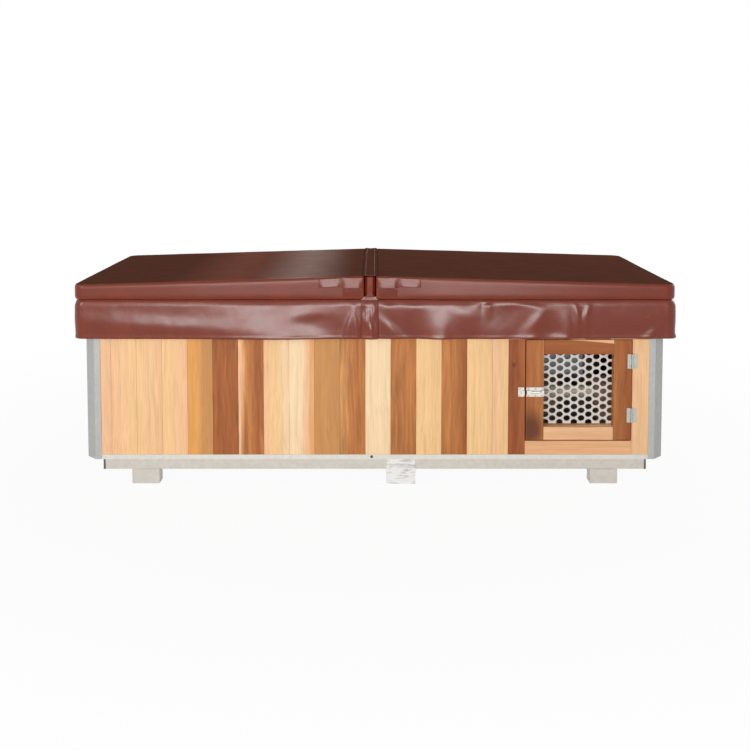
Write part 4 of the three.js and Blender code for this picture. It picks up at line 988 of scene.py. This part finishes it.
class TUB_OT_tub(bpy.types.Operator):
    """Finishes the tub shell, its insulation, the partition and the wall fittings"""
    bl_idname = "tub.tub"
    bl_label = "Tub shell"

    def execute(self, context):
        dress(["tub_basin"], moulded("acrylic_shell", "acrylic", 0.18, 40, 0.2, 0.4), 2 * MM)
        dress(["insulation_jacket"], moulded("cast_foam", "foam", 0.85, 3, 0.6))
        dress(["partition_panel", "rim_rail_front", "rim_rail_rear"],
              cedar("plywood", [(0, tone("plywood")), (1, tone("tan"))]))
        dress(["suction_fitting", "return_fitting", "suction_pipe", "filter_pipe"],
              moulded("extruded_pvc", "pvc", 0.35, 6, 0.05))
        return {"FINISHED"}


class TUB_OT_plant(bpy.types.Operator):
    """Finishes the pump, filter, chiller, valve and controls"""
    bl_idname = "tub.plant"
    bl_label = "Equipment"

    def execute(self, context):
        black = moulded("moulded_black_plastic", "black", 0.45)
        dress(["filter_lid", "thermostat_knob", "power_gland"], black)
        dress(["circulation_pump", "fan_motor", "fan_blade"], moulded("brown_enamel", "motor", 0.4, 3, 0.08))
        dress(["filter_housing"], moulded("moulded_warm_grey_plastic", "filter_grey", 0.35))
        dress(["controller_box"], moulded("moulded_grey_plastic", "grey", 0.5))
        dress(["compressor"], moulded("black_enamel", "enamel", 0.3, 4, 0.1, 0.3))
        dress(["heat_exchanger"], metal("stainless_steel", "stainless", 0.9, 0.3, 40, (220, 5, 5)))
        dress(["drain_valve", "drain_lever"], metal("plated_brass", "plated", 0.8, 0.3, 30, (3, 3, 3)))
        dress(["condenser_coil"], metal("coated_fins", "bronze", 0.1, 0.5, 30, (2.5, 2.5, 60)))
        return {"FINISHED"}


class TUB_OT_cover_panels(bpy.types.Operator):
    """Models the two padded halves of the cover"""
    bl_idname = "tub.cover_panels"
    bl_label = "Cover halves"

    def execute(self, context):
        sides = vinyl("marine_vinyl", "vinyl", 0.33, 0.38)
        # The top has no gloss; its own tone paints its shade and dull sheen, and its paler patches paint its
        # reflections
        top = vinyl("marine_vinyl_top", "top_vinyl_shade_and_sheen", 0.6, 0.0, TOP_SHEEN_PATCHES)
        for name, side in (("left", -1), ("right", 1)):
            self.half(name, side, [sides, top])
        return {"FINISHED"}

    def half(self, name, side, materials):
        size = sizes()
        node = f"cover_{name}_panel"
        low, high = corners(node)
        end = low.x if side < 0 else high.x
        panel = add_block(f"cover_{name}_pad", low, high)
        bpy.ops.object.mode_set(mode="EDIT")
        half_way = middle(node).z
        select_parts(panel, "VERT", lambda points: abs(points[0].x - end) < SEAT and points[0].z > half_way)
        bpy.ops.transform.translate(value=(0, 0, -size.taper))
        select_parts(panel, "EDGE", lambda points: all(abs(point.x - end) < SEAT for point in points)
                     and abs(points[0].y - points[1].y) < SEAT)
        bpy.ops.mesh.bevel(offset=size.corner, segments=8, affect="EDGES")
        bpy.ops.object.mode_set(mode="OBJECT")
        apply_modifier(panel, "BEVEL", width=size.cover_round, segments=4, limit_method="ANGLE",
                       angle_limit=math.radians(50))
        remesh(panel, size.voxel)
        apply_modifier(panel, "SMOOTH", factor=0.5, iterations=3)
        fold = high.x if side < 0 else low.x

        def swell(place):
            """Waves in the vinyl all over, and edges that swell, lowest near the fold."""
            long_wave, short_wave, wave_depth = 210 * MM, 70 * MM, 0.9 * MM
            flat_part, rising_part, leaning_part = 60 * MM, 200 * MM, 900 * MM
            waves = noise.noise(place / long_wave) + 0.35 * noise.noise(place / short_wave)
            away = abs(place.x - fold)
            thick = high.z - low.z - size.taper * away / abs(end - fold)
            level = (place.z - low.z) / thick * 2 - 1
            start = min(1, max(0, (away - flat_part) / rising_part))
            lean = PANEL_LEANS[name] * max(0, 1 - away / leaning_part) * level
            return wave_depth * waves + size.cover_bulge * start * max(0, 1 - level ** 6) * (1 - lean)

        push_out(panel, swell)
        bpy.ops.object.shade_smooth()
        top_normal = Vector((size.taper / (end - fold), 0, 1)).normalized()
        top_edge = Vector((fold, 0, high.z - size.cover_round * 0.3))
        bpy.ops.object.mode_set(mode="EDIT")
        bpy.ops.mesh.select_all(action="SELECT")
        bpy.ops.mesh.bisect(plane_co=top_edge, plane_no=top_normal)
        bpy.ops.object.mode_set(mode="OBJECT")
        settle(panel, f"cover_{name}", "padded_vinyl", node, materials=materials)
        for face in panel.data.polygons:
            face.material_index = 1 if (face.center - top_edge).dot(top_normal) > 0 else 0


class TUB_OT_cover_skirts(bpy.types.Operator):
    """Models the two hanging skirts of the cover and the flaps over their splits"""
    bl_idname = "tub.cover_skirts"
    bl_label = "Cover skirts"

    def execute(self, context):
        self.material = vinyl("skirt_vinyl", "vinyl", 0.26, 0.45)
        for name, side in (("left", -1), ("right", 1)):
            self.skirt(name, side)
        for name, facing in (("front", -1), ("rear", 1)):
            self.flap(name, facing)
        return {"FINISHED"}

    def profile(self, rise, height):
        """How far the skirt stands out at a height above its hem: seam, bead, soft belly and rolled hem."""
        seam, bead, belly, hem = 4 * MM, 1.05 * MM, 2 * MM, 1.2 * MM
        drop = height - rise
        out = bead * (1 + math.erf((drop - 14 * MM) / (7 * MM)))
        out += belly * math.sin(math.pi * min(1, rise / height)) ** 1.5
        out += hem * math.exp(-((rise - 5 * MM) / (4 * MM)) ** 2)
        out -= seam * math.exp(-(drop / (5 * MM)) ** 2)
        return out

    def hang(self, point, rise, height):
        """How far the skirt stands out without its folds, with the ripples of slack vinyl."""
        ripple = noise.noise(point / (60 * MM)) * 0.5 + noise.noise(point / (26 * MM)) * 0.2
        return self.profile(rise, height) + min(1, (height - rise) / SLACK) * ripple * MM

    def flare(self, x, z, top):
        """How far the front folds above a place push it out; each fold's push dies away below it."""
        out = 0
        for fold_x, fold_z, reach, width, lean, turn in LEFT_FOLDS + RIGHT_FOLDS:
            cosine, sine = math.cos(math.radians(turn)), math.sin(math.radians(turn))
            steep = (sine / reach) ** 2 + (cosine / width) ** 2
            aside = x / MM - fold_x
            shift = sine * cosine * (1 / reach ** 2 - 1 / width ** 2) * aside / steep - fold_z
            root = math.sqrt(steep)
            share = math.erf(root * (top / MM + shift)) - math.erf(root * (z / MM + shift))
            across = math.exp(-(aside / (reach * width)) ** 2 / steep)
            push = lean * share * across * math.sqrt(math.pi) / (2 * root)
            drop = 6 * width + 2 * reach * abs(sine)
            out += push * math.exp(-(max(0, fold_z - z / MM) / drop) ** 2)
        return out * MM

    def rise(self, v, height):
        """Rows lie closer together in the bead at the top, and the last few turn in under the foam."""
        share, reach = 0.62, 22 * MM
        if v < share:
            return v / share * (height - reach)
        return height - reach + min(1, (v - share) / (HANGING_ROWS - share)) * reach

    def tuck(self, v):
        """How far a row of the skirt turns in under the foam."""
        return sizes().tuck * max(0, (v - HANGING_ROWS) / (1 - HANGING_ROWS)) ** 2

    def skirt(self, name, side):
        size = sizes()
        node = f"cover_{name}_skirt"
        low, high = corners(node)
        end = abs(low.x if side < 0 else high.x)
        fold = side * (high.x if side < 0 else low.x)
        half, centre = (high.y - low.y) / 2, (high.y + low.y) / 2
        radius, height = size.corner, high.z - low.z
        front = end - radius - fold
        bend = radius * math.pi / 2
        across = 2 * (half - radius)
        total = 2 * front + 2 * bend + across

        def edge(run):
            """Place and outward direction along the cover's edge, for the right half."""
            if run < front:
                return Vector((fold + run, -half, 0)), Vector((0, -1, 0))
            if run < front + bend:
                angle = (run - front) / radius - math.pi / 2
                way = Vector((math.cos(angle), math.sin(angle), 0))
                return Vector((end - radius, -half + radius, 0)) + way * radius, way
            if run < front + bend + across:
                return Vector((end, -half + radius + run - front - bend, 0)), Vector((1, 0, 0))
            if run < total - front:
                angle = (run - front - bend - across) / radius
                way = Vector((math.cos(angle), math.sin(angle), 0))
                return Vector((end - radius, half - radius, 0)) + way * radius, way
            return Vector((fold + total - run, half, 0)), Vector((0, 1, 0))

        def shape(u, v):
            run = (u if side > 0 else 1 - u) * total
            rise = self.rise(v, height)
            spot, way = edge(run)
            spot.x *= side
            way.x *= side
            point = spot + Vector((0, centre, low.z + rise))
            out = self.hang(point, rise, height)
            turned = abs(way.x) if way.y < 0 else 1
            if turned < 1:
                out += (1 - turned) * self.flare(point.x, point.z, high.z)
            swell = 5 * MM * noise.noise(Vector((point.x, point.y, 0.3 * point.z)) / (150 * MM))
            kick = 0.5 * math.exp(-(rise / (14 * MM)) ** 2)
            out += turned * min(1, (height - rise) / SLACK) * (swell + END_FLARES[name] * MM * (1 + kick))
            return point + way * (out - self.tuck(v))

        skirt = add_cloth(f"cover_{name}_skirt_cloth", 520, 36, shape)
        settle(skirt, f"cover_{name}", "vinyl", node, materials=[self.material])

    def flap(self, name, facing):
        size = sizes()
        low, high = corners("cover_left_skirt")
        height = high.z - low.z + size.flap_rise
        middle_x = high.x
        face = low.y if facing < 0 else high.y

        def shape(u, v):
            rise = self.rise(v, height)
            x = middle_x + facing * (0.5 - u) * size.flap
            depth = high.z - low.z
            out = 0.4 * MM + self.hang(Vector((x, face, low.z + rise)), min(rise, depth), depth)
            if facing < 0:
                out += self.flare(x, low.z + rise, high.z)
            hold = math.sin(math.pi * min(1, max(0, u))) ** 0.7
            spot = Vector((x, facing, rise))
            streak = Vector((spot.x / (13 * MM), facing, rise / (70 * MM)))
            crumple = noise.noise(streak) * 3 + noise.noise(spot / (45 * MM)) * 4
            flare = 12 * (1 - rise / height)
            out += hold * (min(1, (height - rise) / (30 * MM)) * (crumple + 3) + flare + 1.5) * MM
            return Vector((x, face + facing * (out - self.tuck(v)), low.z + rise))

        flap = add_cloth(f"cover_{name}_flap", 40, 40, shape)
        settle(flap, "cover_left", "vinyl", materials=[self.material])


class TUB_OT_cover_fold(bpy.types.Operator):
    """Models the strip and gusset in the cover's fold, with their stitching"""
    bl_idname = "tub.cover_fold"
    bl_label = "Cover fold"

    def execute(self, context):
        size = sizes()
        left_low, left_high = corners("cover_left_panel")
        right_low = corners("cover_right_panel")[0]
        # The fold strip takes the top's tone, which paints the top's shade and dull sheen
        top = vinyl("fold_vinyl", "top_vinyl_shade_and_sheen", 0.6, 0.0)
        start, end = left_high.x, right_low.x
        centre = (start + end) / 2
        span = end - start + 2 * size.strip_lap
        slope = size.taper / (left_high.x - left_low.x)
        inset, gap, core_inset = 3 * MM, 2 * MM, 16 * MM

        def shape(u, v):
            x = start - size.strip_lap + u * span
            y = left_low.y + inset + v * (left_high.y - left_low.y - 2 * inset)
            beyond = max(0, start - x, x - end)
            sag = 1.5 * MM * math.exp(-((x - centre) / (12 * MM)) ** 2)
            ripple = 0.3 * MM * noise.noise(Vector((x, y, 0)) / (40 * MM))
            return Vector((x, y, left_high.z + size.skirt_sheet - slope * beyond - sag + ripple))

        strip = add_cloth("cover_fold_strip", 24, 90, shape)
        strip.data.materials.append(top)
        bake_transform(strip)

        gusset = add_block(
            "cover_fold_gusset",
            (centre - size.gusset / 2, left_low.y + inset, left_low.z + gap),
            (centre + size.gusset / 2, left_high.y - inset, left_high.z - 4 * MM))
        base = add_block(
            "gusset_base",
            (start + gap, left_low.y + inset, left_low.z + MM),
            (end - gap, left_high.y - inset, left_low.z + 18 * MM))
        core = add_block(
            "gusset_core",
            (start + gap, left_low.y + core_inset, left_low.z + MM),
            (end - gap, left_high.y - core_inset, left_high.z - 6 * MM))
        gusset = join([gusset, base, core])
        apply_modifier(gusset, "BEVEL", width=5 * MM, segments=3, limit_method="ANGLE")
        remesh(gusset, 4 * MM)
        push_out(gusset, lambda place: 2 * MM * noise.noise(place / (35 * MM)))
        bpy.ops.object.shade_smooth()
        settle(gusset, "cover_left", "vinyl", "cover_fold_hinge",
               materials=[vinyl("gusset_vinyl", "vinyl", 0.45, 0.3)])

        thread = moulded("polyester_thread", "thread", 0.6, 0.8, 0.1)
        for name, body, x in (
            ("left", "cover_left", start + size.strip_lap), ("right", "cover_right", end - size.strip_lap),
        ):
            level = left_high.z + size.skirt_sheet + 0.2 * MM
            row = self.stitches(f"fold_stitches_{name}", x, left_low.y + 8 * MM, left_high.y - 8 * MM, level)
            settle(row, body, "vinyl", materials=[thread])
        return {"FINISHED"}

    def stitches(self, name, x, front, rear, level):
        """A row of lockstitches along the cover's depth."""
        pitch = sizes().stitch
        bpy.ops.object.select_all(action="DESELECT")
        bpy.ops.mesh.primitive_uv_sphere_add(
            segments=8, ring_count=4, radius=1, location=(x, front, level),
            scale=(0.8 * MM, 0.36 * pitch, 0.6 * MM))
        row = named(name)
        apply_modifier(row, "ARRAY", count=int((rear - front) / pitch), use_relative_offset=False,
                       use_constant_offset=True, constant_offset_displace=(0, pitch, 0))
        smooth(row, 60)
        return row


class TUB_OT_handles(bpy.types.Operator):
    """Models the strap handles on the front of the cover"""
    bl_idname = "tub.handles"
    bl_label = "Handles"

    def execute(self, context):
        size = sizes()
        material = vinyl("handle_vinyl", "vinyl", 0.3, 0.4)
        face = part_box("cover_left_panel")[0][1]
        for name, side in (("left", -1), ("right", 1)):
            low, high = corners(f"handle_{name}")
            inner = high.x if side < 0 else low.x
            strap = high.x - low.x
            height = high.z - low.z
            total = strap + size.handle_tab

            def shape(u, v):
                run = (u if side > 0 else 1 - u) * total
                drop = 1 - v
                z = high.z - drop * height
                share = run / strap if run < strap else (run - strap) / size.handle_tab
                lift = min(1, 1.7 * math.sin(math.pi * min(1, share)))
                if run < strap:
                    out = 2.6 * MM + lift * (1 * MM + size.handle_bow * drop)
                else:
                    out = (2.6 + 3 * share + 4 * lift * drop) * MM
                    z = high.z - (2 + 4 * share) * MM - drop * height * 0.8
                out += 0.4 * MM * noise.noise(Vector((run, z, 0)) / (24 * MM))
                return Vector((inner + side * run, face - out, z))

            handle = add_cloth(f"cover_{name}_handle", 64, 16, shape)
            settle(handle, f"cover_{name}", "vinyl", f"handle_{name}", materials=[material])
            self.lip(name, material, (low.x, face, low.z), (high.x, face, high.z))
        return {"FINISHED"}

    def lip(self, name, material, low, high):
        """A padded lip on the panel under a handle, with a slit for the fingers between them."""
        size = sizes()
        inset = 6 * MM
        lip = add_block(
            f"cover_{name}_handle_lip",
            (low[0] + inset, low[1] - size.lip_proud, low[2] - size.handle_slit - size.lip),
            (high[0] - inset, low[1] - SEAT, low[2] - size.handle_slit))
        bpy.ops.object.mode_set(mode="EDIT")
        select_parts(lip, "VERT", lambda points: points[0].y < low[1] - size.lip_proud / 2
                     and points[0].z < low[2] - size.handle_slit - size.lip / 2)
        bpy.ops.transform.translate(value=(0, size.lip_proud - 2 * MM, 0))
        bpy.ops.object.mode_set(mode="OBJECT")
        apply_modifier(lip, "BEVEL", width=1.2 * MM, segments=3, limit_method="ANGLE")
        smooth(lip)
        settle(lip, f"cover_{name}", "padded_vinyl", materials=[material])


OPERATORS = (
    TUB_OT_stage, TUB_OT_metalwork, TUB_OT_boards, TUB_OT_door, TUB_OT_hardware, TUB_OT_tub, TUB_OT_plant,
    TUB_OT_cover_panels, TUB_OT_cover_skirts, TUB_OT_cover_fold, TUB_OT_handles,
)


class TUB_PT_panel(bpy.types.Panel):
    """Lists the tub's pieces in the sidebar"""
    bl_idname = "TUB_PT_panel"
    bl_label = "Cold plunge tub"
    bl_space_type = "VIEW_3D"
    bl_region_type = "UI"
    bl_category = "Tub"

    def draw(self, context):
        for operator in OPERATORS:
            self.layout.operator(operator.bl_idname)


CLASSES = (TubColours, TubSizes) + OPERATORS + (TUB_PT_panel,)


def register():
    for kind in CLASSES:
        bpy.utils.register_class(kind)
    bpy.types.Scene.tub_colours = bpy.props.PointerProperty(type=TubColours)
    bpy.types.Scene.tub_sizes = bpy.props.PointerProperty(type=TubSizes)


def unregister():
    del bpy.types.Scene.tub_sizes
    del bpy.types.Scene.tub_colours
    for kind in reversed(CLASSES):
        bpy.utils.unregister_class(kind)


def main():
    register()
    bpy.ops.tub.stage()
    bpy.ops.tub.metalwork()
    bpy.ops.tub.boards()
    bpy.ops.tub.door()
    bpy.ops.tub.hardware()
    bpy.ops.tub.tub()
    bpy.ops.tub.plant()
    bpy.ops.tub.cover_panels()
    bpy.ops.tub.cover_skirts()
    bpy.ops.tub.cover_fold()
    bpy.ops.tub.handles()


if __name__ == "__main__":
    main()
